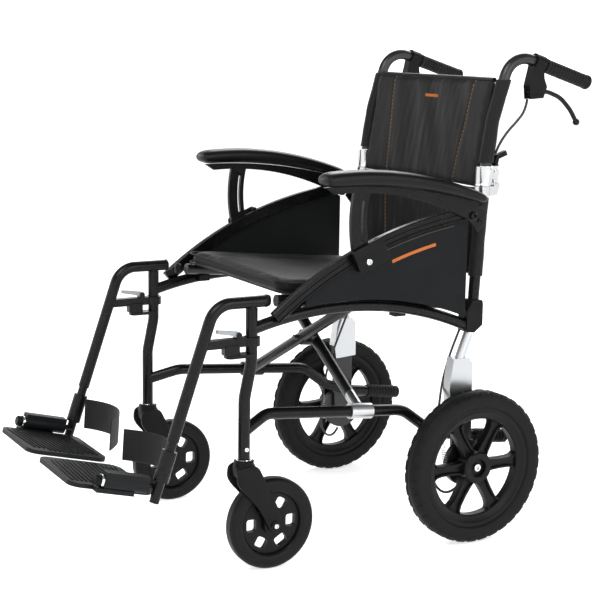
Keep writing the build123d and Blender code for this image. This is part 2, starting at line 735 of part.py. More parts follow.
# Latch lever of the leg rest: sprung, lifts at its front end.
with BuildPart() as hanger_latch:
    with BuildSketch(side(frame_x - 5)):
        with BuildLine():
            Polyline(
                (post_y - 23, strut_z + 10), (post_y - 23, strut_z + 18), (post_y - 44, strut_z + 22),
                (post_y - 70, strut_z + 25), (post_y - 70, strut_z + 19), (post_y - 44, strut_z + 14),
                (post_y - 34, strut_z + 10),
                close=True,
            )
        make_face()
        with Locations((post_y - 28, strut_z + 14)):
            Circle(2 + fit_gap, mode=Mode.SUBTRACT)
    extrude(amount=10)
keep_pair(hanger_latch.part, "hanger_latch")

# Footrest stem: telescopes into the hanger, clamped by a socket, and carries the hinge pin.
pin_z = 184.0
pin_start = Vector(foot_x, leg_y(pin_z), pin_z)


def along_hinge(distance, outward=0.0, up=0.0):
    """A point in the footplate hinge's own frame."""
    return pin_start + foot_dir * distance + Vector(outward, 0, 0) + foot_up * up


with BuildPart() as footrest_stem:
    add(rod((frame_x, leg_y(300), 300), (frame_x, leg_y(158), 158), stem_r))
    add(rod((frame_x, leg_y(250), 250), (frame_x, leg_y(196), 196), socket_r))
    add(rod(pin_start, along_hinge(112), foot_pin_r))
    add(rod(along_hinge(106), along_hinge(112), 11))
keep_pair(footrest_stem.part, "footrest_stem")

# Footplate: a moulded barrel on the hinge pin with the ribbed plate hanging below it.
hinge_plane = Plane(origin=along_hinge(20), x_dir=(1, 0, 0), z_dir=foot_dir)
plate_plane = Plane(
    origin=along_hinge(plate_rear, up=-plate_drop - plate_t), x_dir=(1, 0, 0), z_dir=foot_up
)
with BuildPart() as footplate:
    with BuildSketch(hinge_plane):
        Circle(14)
        with Locations((0, plate_drop - 4)):
            Rectangle(24, 18)
    extrude(amount=85)
    with BuildSketch(plate_plane):
        with Locations((-plate_len / 2 - 13, -plate_depth / 2)):
            RectangleRounded(plate_len, plate_depth, 22)
        with Locations((-8, -plate_depth / 2 - 4)):
            Rectangle(34, 72)
    extrude(amount=plate_t)
    add(rod(along_hinge(10), along_hinge(120), foot_pin_r + fit_gap), mode=Mode.SUBTRACT)
keep_pair(footplate.part, "footplate")

# Heel strap: webbing from the socket round behind the heel to the plate's inner corner.
strap_low, strap_high, strap_t = 182.0, 244.0, 2.5
strap_front = [(foot_x - 6.6, -366.0), (foot_x - 98.0, -334.0), (foot_x - 184.0, -380.0)]
strap_back = [
    (foot_x - 6.6, -366.0 + strap_t), (foot_x - 98.0, -334.0 + strap_t),
    (foot_x - 184.0 - strap_t, -380.0 + strap_t),
]
with BuildPart() as heel_strap:
    with BuildSketch(Plane.XY.offset(strap_low)):
        with BuildLine():
            ThreePointArc(*strap_front)
            Line(strap_front[2], strap_back[2])
            ThreePointArc(*reversed(strap_back))
            Line(strap_back[0], strap_front[0])
        make_face()
    extrude(amount=strap_high - strap_low)
keep_pair(heel_strap.part, "heel_strap")

# ---------------------------------------------------------------- cross-brace
brace_rise = (seat_z - rail_z) * cos(radians(fold_tilt))


def at_brace(x, along, up):
    """A point in the cross-brace's frame: x, distance along the rails, height above them."""
    return Vector(x, 0, rail_z) + fold_dir * along + fold_up * up


def brace(sign, along, boss_side):
    """One leg of the cross: a sleeve on a lower rail, the leg, and the opposite seat rail."""
    foot, head = sign * rail_x, -sign * rail_x
    arm = Vector(head - foot, 0, 0) + fold_up * brace_rise
    middle = at_brace(0, along, brace_rise / 2)
    with BuildPart() as made:
        add(rod(at_brace(foot, along, 0) + arm.normalized() * (sleeve_r - 2),
                at_brace(head, along, brace_rise), tube_r))
        add(rod(at_brace(foot, along - sleeve_len / 2, 0), at_brace(foot, along + sleeve_len / 2, 0), sleeve_r))
        seat_from = (seat_front_y) / cos(radians(fold_tilt))
        seat_to = (seat_rear_y) / cos(radians(fold_tilt))
        add(rod(at_brace(head, seat_from, brace_rise), at_brace(head, seat_to, brace_rise), tube_r))
        add(rod(middle, middle + fold_dir * boss_side * ((brace_a_y - brace_b_y) / 2 - 0.15), brace_boss_r))
        add(rod(at_brace(foot, along - 60, 0), at_brace(foot, along + 60, 0), tube_r + fit_gap),
            mode=Mode.SUBTRACT)
    return made.part


with BuildPart() as brace_a:
    add(brace(1, brace_a_y, -1))
    add(rod(at_brace(0, brace_a_y, brace_rise / 2), at_brace(0, brace_b_y - 18, brace_rise / 2), brace_bolt_r))
keep(brace_a.part, "brace_a")

with BuildPart() as brace_b:
    add(brace(-1, brace_b_y, 1))
    add(rod(at_brace(0, brace_b_y - 40, brace_rise / 2), at_brace(0, brace_b_y + 40, brace_rise / 2),
            brace_bolt_r + fit_gap), mode=Mode.SUBTRACT)
keep(brace_b.part, "brace_b")

# ---------------------------------------------------------------- upholstery
seat_plane = Plane(
    origin=at_brace(0, 0, brace_rise + tube_r + seat_gap), x_dir=(1, 0, 0), z_dir=fold_up
)
with BuildPart() as seat_sling:
    with BuildSketch(seat_plane):
        with Locations((0, (seat_front_y + seat_rear_y) / 2)):
            RectangleRounded(2 * (rail_x + tube_r + 2), seat_rear_y - seat_front_y + 6, 6)
    extrude(amount=seat_t)
keep(seat_sling.part, "seat_sling")

sling_half = back_x - collar_r - seat_gap


def back_panel(foot_z, head_z, foot_y, head_y):
    """A flat sling between the posts, leaning with them."""
    lean = Vector(0, head_y - foot_y, head_z - foot_z)
    with BuildPart() as made:
        with BuildSketch(side(-sling_half)):
            with BuildLine():
                Polyline(
                    (foot_y - sling_t, foot_z), (foot_y, foot_z), (head_y, head_z),
                    (head_y - sling_t, head_z),
                    close=True,
                )
            make_face()
        extrude(amount=2 * sling_half)
    return made.part


with BuildPart() as lower_sling:
    add(back_panel(*lower_sling_z, back_post_y(lower_sling_z[0]) + 2, back_post_y(lower_sling_z[1]) + 2))
keep(lower_sling.part, "lower_sling")

with BuildPart() as upper_sling:
    add(back_panel(*upper_sling_z, back_post_y(upper_sling_z[0]) + 2, 337.0))
keep(upper_sling.part, "upper_sling")
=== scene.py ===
import bmesh
import bpy
import json
from math import atan2, cos, pi, radians, sin
from mathutils import Matrix, Vector, noise
from mathutils.bvhtree import BVHTree

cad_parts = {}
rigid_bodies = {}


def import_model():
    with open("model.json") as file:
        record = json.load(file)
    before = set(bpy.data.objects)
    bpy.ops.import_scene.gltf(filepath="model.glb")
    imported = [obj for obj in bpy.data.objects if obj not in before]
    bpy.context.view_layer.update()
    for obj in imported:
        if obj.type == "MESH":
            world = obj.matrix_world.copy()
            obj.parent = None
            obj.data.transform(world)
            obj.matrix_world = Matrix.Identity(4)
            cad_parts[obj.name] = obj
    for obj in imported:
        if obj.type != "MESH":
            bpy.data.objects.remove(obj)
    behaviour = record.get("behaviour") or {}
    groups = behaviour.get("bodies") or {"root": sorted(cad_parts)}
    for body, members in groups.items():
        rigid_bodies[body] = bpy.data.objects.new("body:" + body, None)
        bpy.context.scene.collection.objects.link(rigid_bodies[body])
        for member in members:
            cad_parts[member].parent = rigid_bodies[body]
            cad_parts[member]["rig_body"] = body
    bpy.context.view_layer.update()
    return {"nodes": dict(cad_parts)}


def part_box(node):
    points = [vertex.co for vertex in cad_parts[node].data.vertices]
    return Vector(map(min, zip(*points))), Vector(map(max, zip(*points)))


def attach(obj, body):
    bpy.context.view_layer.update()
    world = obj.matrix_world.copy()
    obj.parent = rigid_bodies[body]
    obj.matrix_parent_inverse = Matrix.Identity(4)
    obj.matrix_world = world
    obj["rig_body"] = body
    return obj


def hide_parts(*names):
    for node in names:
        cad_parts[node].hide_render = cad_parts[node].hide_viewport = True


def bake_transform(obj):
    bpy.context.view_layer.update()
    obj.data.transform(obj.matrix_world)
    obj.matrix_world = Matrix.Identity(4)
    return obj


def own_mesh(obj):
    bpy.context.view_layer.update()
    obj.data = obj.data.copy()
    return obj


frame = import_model()

SIDES = {"left": 1, "right": -1}

# ------------------------------------------------------------------------------------------
# Camera: a long lens at hand height, seeing the chair from its front left corner.
camera_place = Vector((2.5313, -1.3786, 0.9878))
camera_turn, camera_drop, camera_roll = 1.08253, 0.163537, 0.012125
camera_data = bpy.data.cameras.new("camera")
camera_data.lens = 87.34
camera_data.shift_x = 0.039
camera_data.shift_y = -0.0445
camera = bpy.data.objects.new("camera", camera_data)
bpy.context.scene.collection.objects.link(camera)
look = Vector((
    -sin(camera_turn) * cos(camera_drop), cos(camera_turn) * cos(camera_drop), -sin(camera_drop)
))
camera.rotation_mode = "QUATERNION"
camera.rotation_quaternion = (
    look.to_track_quat("-Z", "Y") @ Matrix.Rotation(camera_roll, 3, "Z").to_quaternion()
)
camera.location = camera_place
bpy.context.scene.camera = camera

# ------------------------------------------------------------------------------------------
# Studio: a plain white paper floor inside a lit ring wall, one broad key light high in front,
# a fill on the near side and a third behind that puts an edge on the black tubes.

FLOOR_RADIUS, WALL_RADIUS, WALL_HEIGHT = 40, 38, 15
WHITE = 0xFFFFFF


def linear(hex_value):
    """An sRGB hex colour as the linear colour that a shader socket takes."""
    made = []
    for shift in (16, 8, 0):
        part = ((hex_value >> shift) & 255) / 255
        made.append(part / 12.92 if part <= 0.04045 else ((part + 0.055) / 1.055) ** 2.4)
    return (*made, 1.0)


def node(tree, kind, settings=(), **links):
    """Adds a node: settings are (socket or property, value) pairs, links are sockets fed by sockets."""
    made = tree.nodes.new(kind)
    for name, value in dict(settings).items():
        if name in made.inputs:
            made.inputs[name].default_value = value
        else:
            setattr(made, name, value)
    for name, source in links.items():
        tree.links.new(source, made.inputs[name.replace("_", " ")])
    return made


def finish_of(name, settings):
    """A new material with one principled shader; returns the material, its tree and the shader."""
    made = bpy.data.materials.new(name)
    made.use_nodes = True
    shader = made.node_tree.nodes["Principled BSDF"]
    for socket, value in settings.items():
        shader.inputs[socket].default_value = value
    return made, made.node_tree, shader


floor_mesh = bpy.data.meshes.new("studio_floor")
floor_bm = bmesh.new()
bmesh.ops.create_circle(floor_bm, cap_ends=True, segments=64, radius=FLOOR_RADIUS)
floor_bm.to_mesh(floor_mesh)
floor_bm.free()
wall_mesh = bpy.data.meshes.new("studio_wall")
wall_bm = bmesh.new()
bmesh.ops.create_circle(wall_bm, cap_ends=False, segments=64, radius=WALL_RADIUS)
risen = bmesh.ops.extrude_edge_only(wall_bm, edges=wall_bm.edges[:])
wall_top = [v for v in risen["geom"] if isinstance(v, bmesh.types.BMVert)]
bmesh.ops.translate(wall_bm, vec=(0, 0, WALL_HEIGHT), verts=wall_top)
wall_bm.to_mesh(wall_mesh)
wall_bm.free()
for stage_name, stage_mesh, shine, glow in (
    ("studio_floor", floor_mesh, 0.1, 0.56), ("studio_wall", wall_mesh, 0.0, 0.78)
):
    stage_paint, _, _ = finish_of(
        f"{stage_name}_paper",
        {
            "Base Color": linear(WHITE), "Roughness": 0.9, "Specular IOR Level": shine,
            "Emission Color": linear(WHITE), "Emission Strength": glow,
        },
    )
    stage_mesh.materials.append(stage_paint)
    stage_piece = bpy.data.objects.new(stage_name, stage_mesh)
    bpy.context.scene.collection.objects.link(stage_piece)

world = bpy.data.worlds.new("studio_air")
world.use_nodes = True
world.node_tree.nodes["Background"].inputs["Color"].default_value = (1, 1, 1, 1)
world.node_tree.nodes["Background"].inputs["Strength"].default_value = 0.34
bpy.context.scene.world = world
bpy.context.scene.view_settings.view_transform = "Standard"


def softbox(name, place, aim, size, power):
    """A rectangular area light of a size in metres, turned to face a point."""
    lamp = bpy.data.lights.new(name, "AREA")
    lamp.shape = "RECTANGLE"
    lamp.size, lamp.size_y = size
    lamp.energy = power
    made = bpy.data.objects.new(name, lamp)
    bpy.context.scene.collection.objects.link(made)
    made.location = place
    made.rotation_mode = "QUATERNION"
    made.rotation_quaternion = (Vector(aim) - Vector(place)).to_track_quat("-Z", "Y")


softbox("key", (1.2, -1.6, 2.9), (0, 0, 0.5), (2.2, 1.6), 62)
softbox("fill", (3.2, 0.8, 1.6), (0, 0.1, 0.5), (1.2, 2.0), 26)
softbox("rim", (-1.6, 1.8, 2.2), (0, 0, 0.6), (2.4, 1.0), 45)

# ------------------------------------------------------------------------------------------
# Brake cables: a steel wire in a black PVC sheath.  The upper one runs from the lever clamp to
# the fold hinge, the lower one from there down to the drum, where it loops round.

CABLE_WIDTH = 0.005


def sheathing():
    """Glossy extruded PVC: faint ripples along the sheath and a dusty sheen."""
    made, tree, shader = finish_of("pvc_cable_sheath", {"Roughness": 0.38})
    place = node(tree, "ShaderNodeTexCoord")
    ripple = node(tree, "ShaderNodeTexNoise", [("Scale", 220.0)], Vector=place.outputs["Object"])
    tone = node(
        tree, "ShaderNodeMixRGB", [("Color1", linear(0x0E0E0F)), ("Color2", linear(0x1C1C1E))],
        Fac=ripple.outputs["Fac"],
    )
    bump = node(
        tree, "ShaderNodeBump", [("Strength", 0.15), ("Distance", 0.0004)], Height=ripple.outputs["Fac"]
    )
    tree.links.new(tone.outputs["Color"], shader.inputs["Base Color"])
    tree.links.new(bump.outputs["Normal"], shader.inputs["Normal"])
    return made


cable_sheath = sheathing()
lower_route = [
    (0.207, 0.311, 0.676), (0.207, 0.308, 0.622), (0.206, 0.304, 0.565), (0.204, 0.299, 0.508),
    (0.203, 0.288, 0.452), (0.202, 0.267, 0.405), (0.203, 0.246, 0.358), (0.208, 0.228, 0.308),
    (0.218, 0.216, 0.262), (0.222, 0.208, 0.215), (0.2225, 0.203, 0.172), (0.223, 0.2, 0.138),
    (0.225, 0.206, 0.108), (0.229, 0.224, 0.09), (0.234, 0.244, 0.092), (0.238, 0.254, 0.104),
]
upper_route = [
    (0.217, 0.404, 0.8658), (0.2165, 0.401, 0.844), (0.213, 0.384, 0.822), (0.208, 0.362, 0.799),
    (0.204, 0.341, 0.764), (0.203, 0.329, 0.724),
]
for side, way in SIDES.items():
    for part, body, route, length in (
        ("upper_cable", "back", upper_route, 0.164), ("lower_cable", "frame", lower_route, 0.64)
    ):
        points = [Vector((way * x, y, z)) for x, y, z in route]
        line = bpy.data.curves.new(f"{side}_{part}_sheath", "CURVE")
        line.dimensions = "3D"
        line.bevel_depth = CABLE_WIDTH / 2
        line.bevel_resolution = 3
        line.use_fill_caps = True
        run = line.splines.new("NURBS")
        run.points.add(len(points) - 1)
        for control, point in zip(run.points, points):
            control.co = (*point, 1)
        run.order_u = 3
        run.use_endpoint_u = True
        run.resolution_u = 6
        line.materials.append(cable_sheath)
        sheath = bpy.data.objects.new(f"{side}_{part}_sheath", line)
        bpy.context.scene.collection.objects.link(sheath)
        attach(sheath, f"{side}_{body}")
        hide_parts(f"{side}_{part}")

# ------------------------------------------------------------------------------------------
# Frame tubes and castings: bent aluminium tube, powder coated satin black after welding.  The
# same kind of grained finish, with other colours and grains, serves the mouldings.


def fine_surface(name, low, high, roughness, grain_mm, bump, settings=()):
    """A finish with a fine grain, patchy gloss and a slow drift between two close tones."""
    made, tree, shader = finish_of(name, dict(settings))
    place = node(tree, "ShaderNodeTexCoord")
    grain = node(
        tree, "ShaderNodeTexNoise", [("Scale", 1000 / grain_mm), ("Detail", 3.0)],
        Vector=place.outputs["Object"],
    )
    drift = node(
        tree, "ShaderNodeTexNoise", [("Scale", 17.0), ("Detail", 5.0)], Vector=place.outputs["Object"]
    )
    tone = node(
        tree, "ShaderNodeMixRGB", [("Color1", linear(low)), ("Color2", linear(high))],
        Fac=drift.outputs["Fac"],
    )
    gloss = node(
        tree, "ShaderNodeMapRange", [("To Min", roughness - 0.07), ("To Max", roughness + 0.07)],
        Value=drift.outputs["Fac"],
    )
    relief = node(
        tree, "ShaderNodeBump", [("Strength", bump), ("Distance", grain_mm / 4000)],
        Height=grain.outputs["Fac"],
    )
    tree.links.new(tone.outputs["Color"], shader.inputs["Base Color"])
    tree.links.new(gloss.outputs["Result"], shader.inputs["Roughness"])
    tree.links.new(relief.outputs["Normal"], shader.inputs["Normal"])
    return made


def dress(paint, *nodes):
    """Puts a finish on CAD nodes of both sides, whose shapes stay as they are."""
    for name in nodes:
        for side in SIDES:
            for held in frame["nodes"][f"{side}_{name}"].material_slots:
                held.material = paint


powder_coat = fine_surface(
    "powder_coated_aluminium", 0x050506, 0x09090A, 0.27, 1.3, 0.2, {"Specular IOR Level": 0.2}
)
moulded_nylon = fine_surface(
    "moulded_glass_nylon", 0x08080A, 0x0E0F10, 0.45, 0.9, 0.3, {"Specular IOR Level": 0.13}
)
panel_skin = fine_surface(
    "moulded_abs_panel", 0x131415, 0x1A1B1C, 0.52, 1.1, 0.35, {"Specular IOR Level": 0.07}
)
latch_grey = fine_surface("grey_acetal", 0x85888B, 0x9A9DA0, 0.4, 0.8, 0.2)
satin_alloy = fine_surface(
    "tumbled_cast_aluminium", 0xA9ABAD, 0xC6C8CA, 0.3, 1.0, 0.3, {"Metallic": 1.0}
)
bright_chrome = fine_surface(
    "chrome_plated_steel", 0xC9CACC, 0xE2E3E4, 0.14, 2.4, 0.06, {"Metallic": 1.0}
)
dress(powder_coat, "front_post", "upper_rail", "lower_rail", "back_post", "arm_post", "hanger_tube",
      "footrest_stem", "brake_lever")
dress(moulded_nylon, "corner_joint", "brake_clamp", "back_latch")
dress(panel_skin, "side_panel")
dress(latch_grey, "hanger_latch")
dress(bright_chrome, "back_hinge")
frame["nodes"]["brace_b"].material_slots[0].material = powder_coat


def parted(name, above, below, socket, edge):
    """Two finishes on one welded piece, parted where an axis of the piece passes an edge.  Each
    finish is its colour, its metallic share and its roughness."""
    made = bpy.data.materials.new(name)
    made.use_nodes = True
    tree = made.node_tree
    tree.nodes.clear()
    place = node(tree, "ShaderNodeTexCoord")
    axes = node(tree, "ShaderNodeSeparateXYZ", Vector=place.outputs["Object"])
    over = node(tree, "ShaderNodeMath", [("operation", "GREATER_THAN")])
    tree.links.new(axes.outputs[socket], over.inputs[0])
    over.inputs[1].default_value = edge
    shader = node(tree, "ShaderNodeBsdfPrincipled")
    tone = node(
        tree, "ShaderNodeMixRGB", [("Color1", linear(below[0])), ("Color2", linear(above[0]))],
        Fac=over.outputs["Value"],
    )
    tree.links.new(tone.outputs["Color"], shader.inputs["Base Color"])
    for label, k in (("Metallic", 1), ("Roughness", 2)):
        level = node(
            tree, "ShaderNodeMapRange", [("To Min", below[k]), ("To Max", above[k])],
            Value=over.outputs["Value"],
        )
        tree.links.new(level.outputs["Result"], shader.inputs[label])
    grain = node(
        tree, "ShaderNodeTexNoise", [("Scale", 800.0), ("Detail", 3.0)], Vector=place.outputs["Object"]
    )
    relief = node(
        tree, "ShaderNodeBump", [("Strength", 0.2), ("Distance", 0.0003)], Height=grain.outputs["Fac"]
    )
    tree.links.new(relief.outputs["Normal"], shader.inputs["Normal"])
    out = node(tree, "ShaderNodeOutputMaterial")
    tree.links.new(shader.outputs["BSDF"], out.inputs["Surface"])
    return made


black_part, alloy_part = (0x0D0D0F, 0.0, 0.33), (0xBBBDBF, 1.0, 0.28)
chrome_part = (0xDCDDDE, 1.0, 0.13)
chrome_top_z, casting_foot_z, brace_sleeve_x = 0.7375, 0.2728, 0.16
dress(parted("chromed_foot_of_the_cane", black_part, chrome_part, "Z", chrome_top_z), "cane")
dress(parted("cast_over_steel_plate", alloy_part, black_part, "Z", casting_foot_z), "axle_mount")
frame["nodes"]["brace_a"].material_slots[0].material = parted(
    "sleeved_brace_tube", alloy_part, black_part, "X", brace_sleeve_x
)

# ------------------------------------------------------------------------------------------
# Padded seat: black coated nylon over a thin foam pad, piped round its edge, lying on the seat
# rails.  The shell is blown up as cloth, then the lines that quilt it are pressed in.


def piece_of(bm, name, paint, body, sharp=38):
    """Ends a bmesh: faces outwards, edges sharp above an angle, and the piece rides on its body."""
    bmesh.ops.remove_doubles(bm, verts=bm.verts, dist=1e-6)
    bmesh.ops.recalc_face_normals(bm, faces=bm.faces)
    for face in bm.faces:
        face.smooth = True
    for edge in bm.edges:
        edge.smooth = edge.calc_face_angle(0) < radians(sharp)
    mesh = bpy.data.meshes.new(name)
    bm.to_mesh(mesh)
    bm.free()
    mesh.materials.append(paint)
    made = bpy.data.objects.new(name, mesh)
    bpy.context.scene.collection.objects.link(made)
    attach(made, body)
    return made


def wave_scale(spacing):
    """The Wave Texture's scale that puts its bands a spacing in metres apart."""
    return 2 * pi / spacing / 20


def coated_nylon(name, up_axis):
    """Woven nylon with a soft coating: a plain weave drawn at 2.2 mm, well above its real 0.4 mm,
    so that it shows, slow creases of light and shade, and a faint sheen at grazing angles."""
    made, tree, shader = finish_of(
        name, {"Sheen Weight": 0.03, "Sheen Roughness": 0.5, "Specular IOR Level": 0.15}
    )
    place = node(tree, "ShaderNodeTexCoord")
    thread = wave_scale(0.0022)
    warp = node(
        tree, "ShaderNodeTexWave", [("bands_direction", "X"), ("Scale", thread)],
        Vector=place.outputs["Object"],
    )
    weft = node(
        tree, "ShaderNodeTexWave", [("bands_direction", up_axis), ("Scale", thread)],
        Vector=place.outputs["Object"],
    )
    weave = node(tree, "ShaderNodeMath", [("operation", "MULTIPLY")])
    tree.links.new(warp.outputs["Fac"], weave.inputs[0])
    tree.links.new(weft.outputs["Fac"], weave.inputs[1])
    shade = node(
        tree, "ShaderNodeTexNoise", [("Scale", 9.0), ("Detail", 5.0), ("Distortion", 0.6)],
        Vector=place.outputs["Object"],
    )
    tone = node(
        tree, "ShaderNodeMixRGB", [("Color1", linear(0x0B0B0C)), ("Color2", linear(0x171719))],
        Fac=shade.outputs["Fac"],
    )
    gloss = node(
        tree, "ShaderNodeMapRange", [("To Min", 0.46), ("To Max", 0.66)], Value=shade.outputs["Fac"]
    )
    cloth_relief = node(
        tree, "ShaderNodeBump", [("Strength", 0.28), ("Distance", 0.0004)], Height=weave.outputs["Value"]
    )
    tree.links.new(tone.outputs["Color"], shader.inputs["Base Color"])
    tree.links.new(gloss.outputs["Result"], shader.inputs["Roughness"])
    tree.links.new(cloth_relief.outputs["Normal"], shader.inputs["Normal"])
    return made


seat_cloth = coated_nylon("coated_nylon_seat", "Y")
back_cloth = coated_nylon("coated_nylon_back", "Z")


def baked(made):
    """The piece's mesh as its modifiers leave it, in place of the mesh and the modifiers."""
    graph = bpy.context.evaluated_depsgraph_get()
    mesh = bpy.data.meshes.new_from_object(made.evaluated_get(graph))
    made.modifiers.clear()
    made.data = mesh


CLOTH_FRAMES = 20


def puffed(made, pressure, most, voxel=0.005):
    """Blows the piece up like a filled cushion, moving no point further than most."""
    remesh = made.modifiers.new("even_shell", "REMESH")
    remesh.mode = "VOXEL"
    remesh.voxel_size = voxel
    baked(made)
    flat = [vertex.co.copy() for vertex in made.data.vertices]
    cloth = made.modifiers.new("filling", "CLOTH")
    cloth.settings.use_pressure = True
    cloth.settings.uniform_pressure_force = pressure
    cloth.settings.effector_weights.gravity = 0
    cloth.point_cache.frame_end = CLOTH_FRAMES
    for number in range(1, CLOTH_FRAMES + 1):
        bpy.context.scene.frame_set(number)
    baked(made)
    bpy.context.scene.frame_set(1)
    for vertex, start in zip(made.data.vertices, flat):
        move = vertex.co - start
        if move.length > most:
            vertex.co = start + move * (most / move.length)
    finer = made.modifiers.new("finer", "SUBSURF")
    finer.levels = finer.render_levels = 1
    baked(made)
    for polygon in made.data.polygons:
        polygon.use_smooth = True


def pressed(made, up, depth_at):
    """Moves each point of the mesh along one direction by a depth worked out at that point."""
    for vertex in made.data.vertices:
        vertex.co += up * depth_at(vertex.co)


seat_low, seat_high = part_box("seat_sling")
seat_fall = radians(5)
seat_up = Vector((0, sin(seat_fall), cos(seat_fall)))
seat_thick, seat_half_long = 0.026, 0.1990
seat_middle = (seat_low + seat_high) / 2
seat_half = Vector(((seat_high.x - seat_low.x) / 2, seat_half_long, seat_thick / 2))
seat_turn = Matrix.Translation(seat_middle) @ Matrix.Rotation(-seat_fall, 4, "X")


def sliced(bm, axis, count, reach):
    """Cuts a shell across an axis into count strips between -reach and reach, for the cloth."""
    for k in range(1, count):
        spot, normal = [0, 0, 0], [0, 0, 0]
        spot[axis] = (2 * k / count - 1) * reach
        normal[axis] = 1
        bmesh.ops.bisect_plane(
            bm, geom=bm.verts[:] + bm.edges[:] + bm.faces[:], plane_co=spot, plane_no=normal
        )


def seat_shell():
    """A slab with rounded corners and edges, smaller all round by what the filling adds."""
    bm = bmesh.new()
    bmesh.ops.create_cube(bm, size=2)
    puff = 0.003
    bmesh.ops.scale(bm, vec=seat_half - Vector((puff, puff, puff)), verts=bm.verts)
    upright = [e for e in bm.edges if abs(e.verts[0].co.z - e.verts[1].co.z) > 0.01]
    bmesh.ops.bevel(
        bm, geom=upright, offset=0.03, segments=5, profile=0.5, affect="EDGES", material=-1
    )
    level = [e for e in bm.edges if abs(e.verts[0].co.z - e.verts[1].co.z) < 1e-5]
    rims = [e for e in level if e.calc_face_angle(0) > 1]
    bmesh.ops.bevel(bm, geom=rims, offset=0.007, segments=3, profile=0.5, affect="EDGES", material=-1)
    for axis in (0, 1):
        sliced(bm, axis, 14, seat_half[axis] - 0.031)
    bmesh.ops.transform(bm, matrix=seat_turn, verts=bm.verts)
    return bm


seat_pad = piece_of(seat_shell(), "seat_cushion", seat_cloth, "seat")
puffed(seat_pad, 4.0, 0.006)
quilt_lines = (-0.135, 0.135)


def seat_depth(point):
    """Sags a little under years of sitting, with two sewn lines and shallow creases."""
    over = (point - seat_middle).dot(seat_up) > 0
    across, along = point.x / 0.19, (point.y - seat_middle.y) / 0.19
    inward = max(0.0, 1 - across ** 2) * max(0.0, 1 - along ** 2)
    sag = -0.006 * inward
    line = min(abs(point.x - where) for where in quilt_lines)
    seam = -0.0022 * max(0.0, 1 - line / 0.008) if over and inward > 0.05 else 0
    crease = 0.0016 * noise.noise(Vector((point.x * 16, point.y * 7, 0.3))) * inward
    return sag + seam + crease


pressed(seat_pad, seat_up, seat_depth)
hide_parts("seat_sling")


def beaded(points, width, closed=True):
    """A round bead along given points: a smooth curve turned to a mesh."""
    line = bpy.data.curves.new("bead", "CURVE")
    line.dimensions = "3D"
    line.bevel_depth = width / 2
    line.bevel_resolution = 2
    line.use_fill_caps = True
    run = line.splines.new("NURBS")
    run.points.add(len(points) - 1)
    for held, point in zip(run.points, points):
        held.co = (*point, 1)
    run.order_u = 3
    run.use_endpoint_u = not closed
    run.use_cyclic_u = closed
    run.resolution_u = 4
    holder = bpy.data.objects.new("bead", line)
    bpy.context.scene.collection.objects.link(holder)
    graph = bpy.context.evaluated_depsgraph_get()
    bm = bmesh.new()
    bm.from_mesh(bpy.data.meshes.new_from_object(holder.evaluated_get(graph)))
    bpy.data.objects.remove(holder)
    return bm


def seat_edge(height):
    """A rounded rectangle round the seat at a height above its middle plane."""
    across, along, corner = seat_half.x - 0.0035, seat_half.y - 0.0035, 0.028
    signs = ((1, -1), (1, 1), (-1, 1), (-1, -1))
    spots = []
    for k in range(4):
        sign_x, sign_y = signs[k]
        for step in range(6):
            turn = radians(90 * k - 90 + 18 * step)
            spots.append(seat_turn @ Vector((
                sign_x * (across - corner) + corner * cos(turn),
                sign_y * (along - corner) + corner * sin(turn), height,
            )))
        here = spots[-1]
        ahead = signs[(k + 1) % 4]
        goal = seat_turn @ Vector((ahead[0] * across, ahead[1] * along, height))
        for share in (0.25, 0.5, 0.75):
            spots.append(here.lerp(goal, share * 0.9))
    return spots


seat_layers = (("seat_piping_top", 0.0095, 0.0042), ("seat_piping_foot", -0.0085, 0.0036))
binding = fine_surface(
    "nylon_binding", 0x0A0A0B, 0x131314, 0.5, 1.6, 0.6, {"Specular IOR Level": 0.16}
)
for name, height, width in seat_layers:
    bead = piece_of(beaded(seat_edge(height), width), name, binding, "seat")
    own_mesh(bead)
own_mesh(seat_pad)

# ------------------------------------------------------------------------------------------
# Back: two padded panels of the same nylon, sewn to sleeves that slip over the canes and the
# back posts, with a bound top edge and ochre stitching near each side.


def turned(profile, start, toward, steps=36):
    """A turned piece: (distance along, radius) pairs spun about the line from start toward a point."""
    bm = bmesh.new()
    verts = [bm.verts.new((radius, 0, along)) for along, radius in profile]
    edges = [bm.edges.new(pair) for pair in zip(verts, verts[1:])]
    bmesh.ops.spin(
        bm, geom=verts + edges, cent=(0, 0, 0), axis=(0, 0, 1), angle=2 * pi, steps=steps, use_merge=True
    )
    bmesh.ops.remove_doubles(bm, verts=bm.verts, dist=1e-6)
    turn = (Vector(toward) - Vector(start)).to_track_quat("Z", "Y").to_matrix().to_4x4()
    bmesh.ops.transform(bm, matrix=Matrix.Translation(start) @ turn, verts=bm.verts)
    return bm


def both(make, name, paint, body, sharp=38):
    """A piece on the chair's left and its mirror image on the right."""
    pair = []
    for side, way in SIDES.items():
        bm = make()
        bmesh.ops.scale(bm, vec=(way, 1, 1), verts=bm.verts)
        pair.append(piece_of(bm, f"{side}_{name}", paint, f"{side}_{body}", sharp))
    return pair


def oval(centre, across, up, half_w, half_h, power=2.0, count=28):
    """A closed ring, from an ellipse at power 2 to nearly a rectangle at 6."""
    ring = []
    for k in range(count):
        turn = 2 * pi * k / count
        c, s = cos(turn), sin(turn)
        ring.append(
            Vector(centre)
            + Vector(across) * half_w * (abs(c) ** (2 / power) * (1 if c > 0 else -1))
            + Vector(up) * half_h * (abs(s) ** (2 / power) * (1 if s > 0 else -1))
        )
    return ring


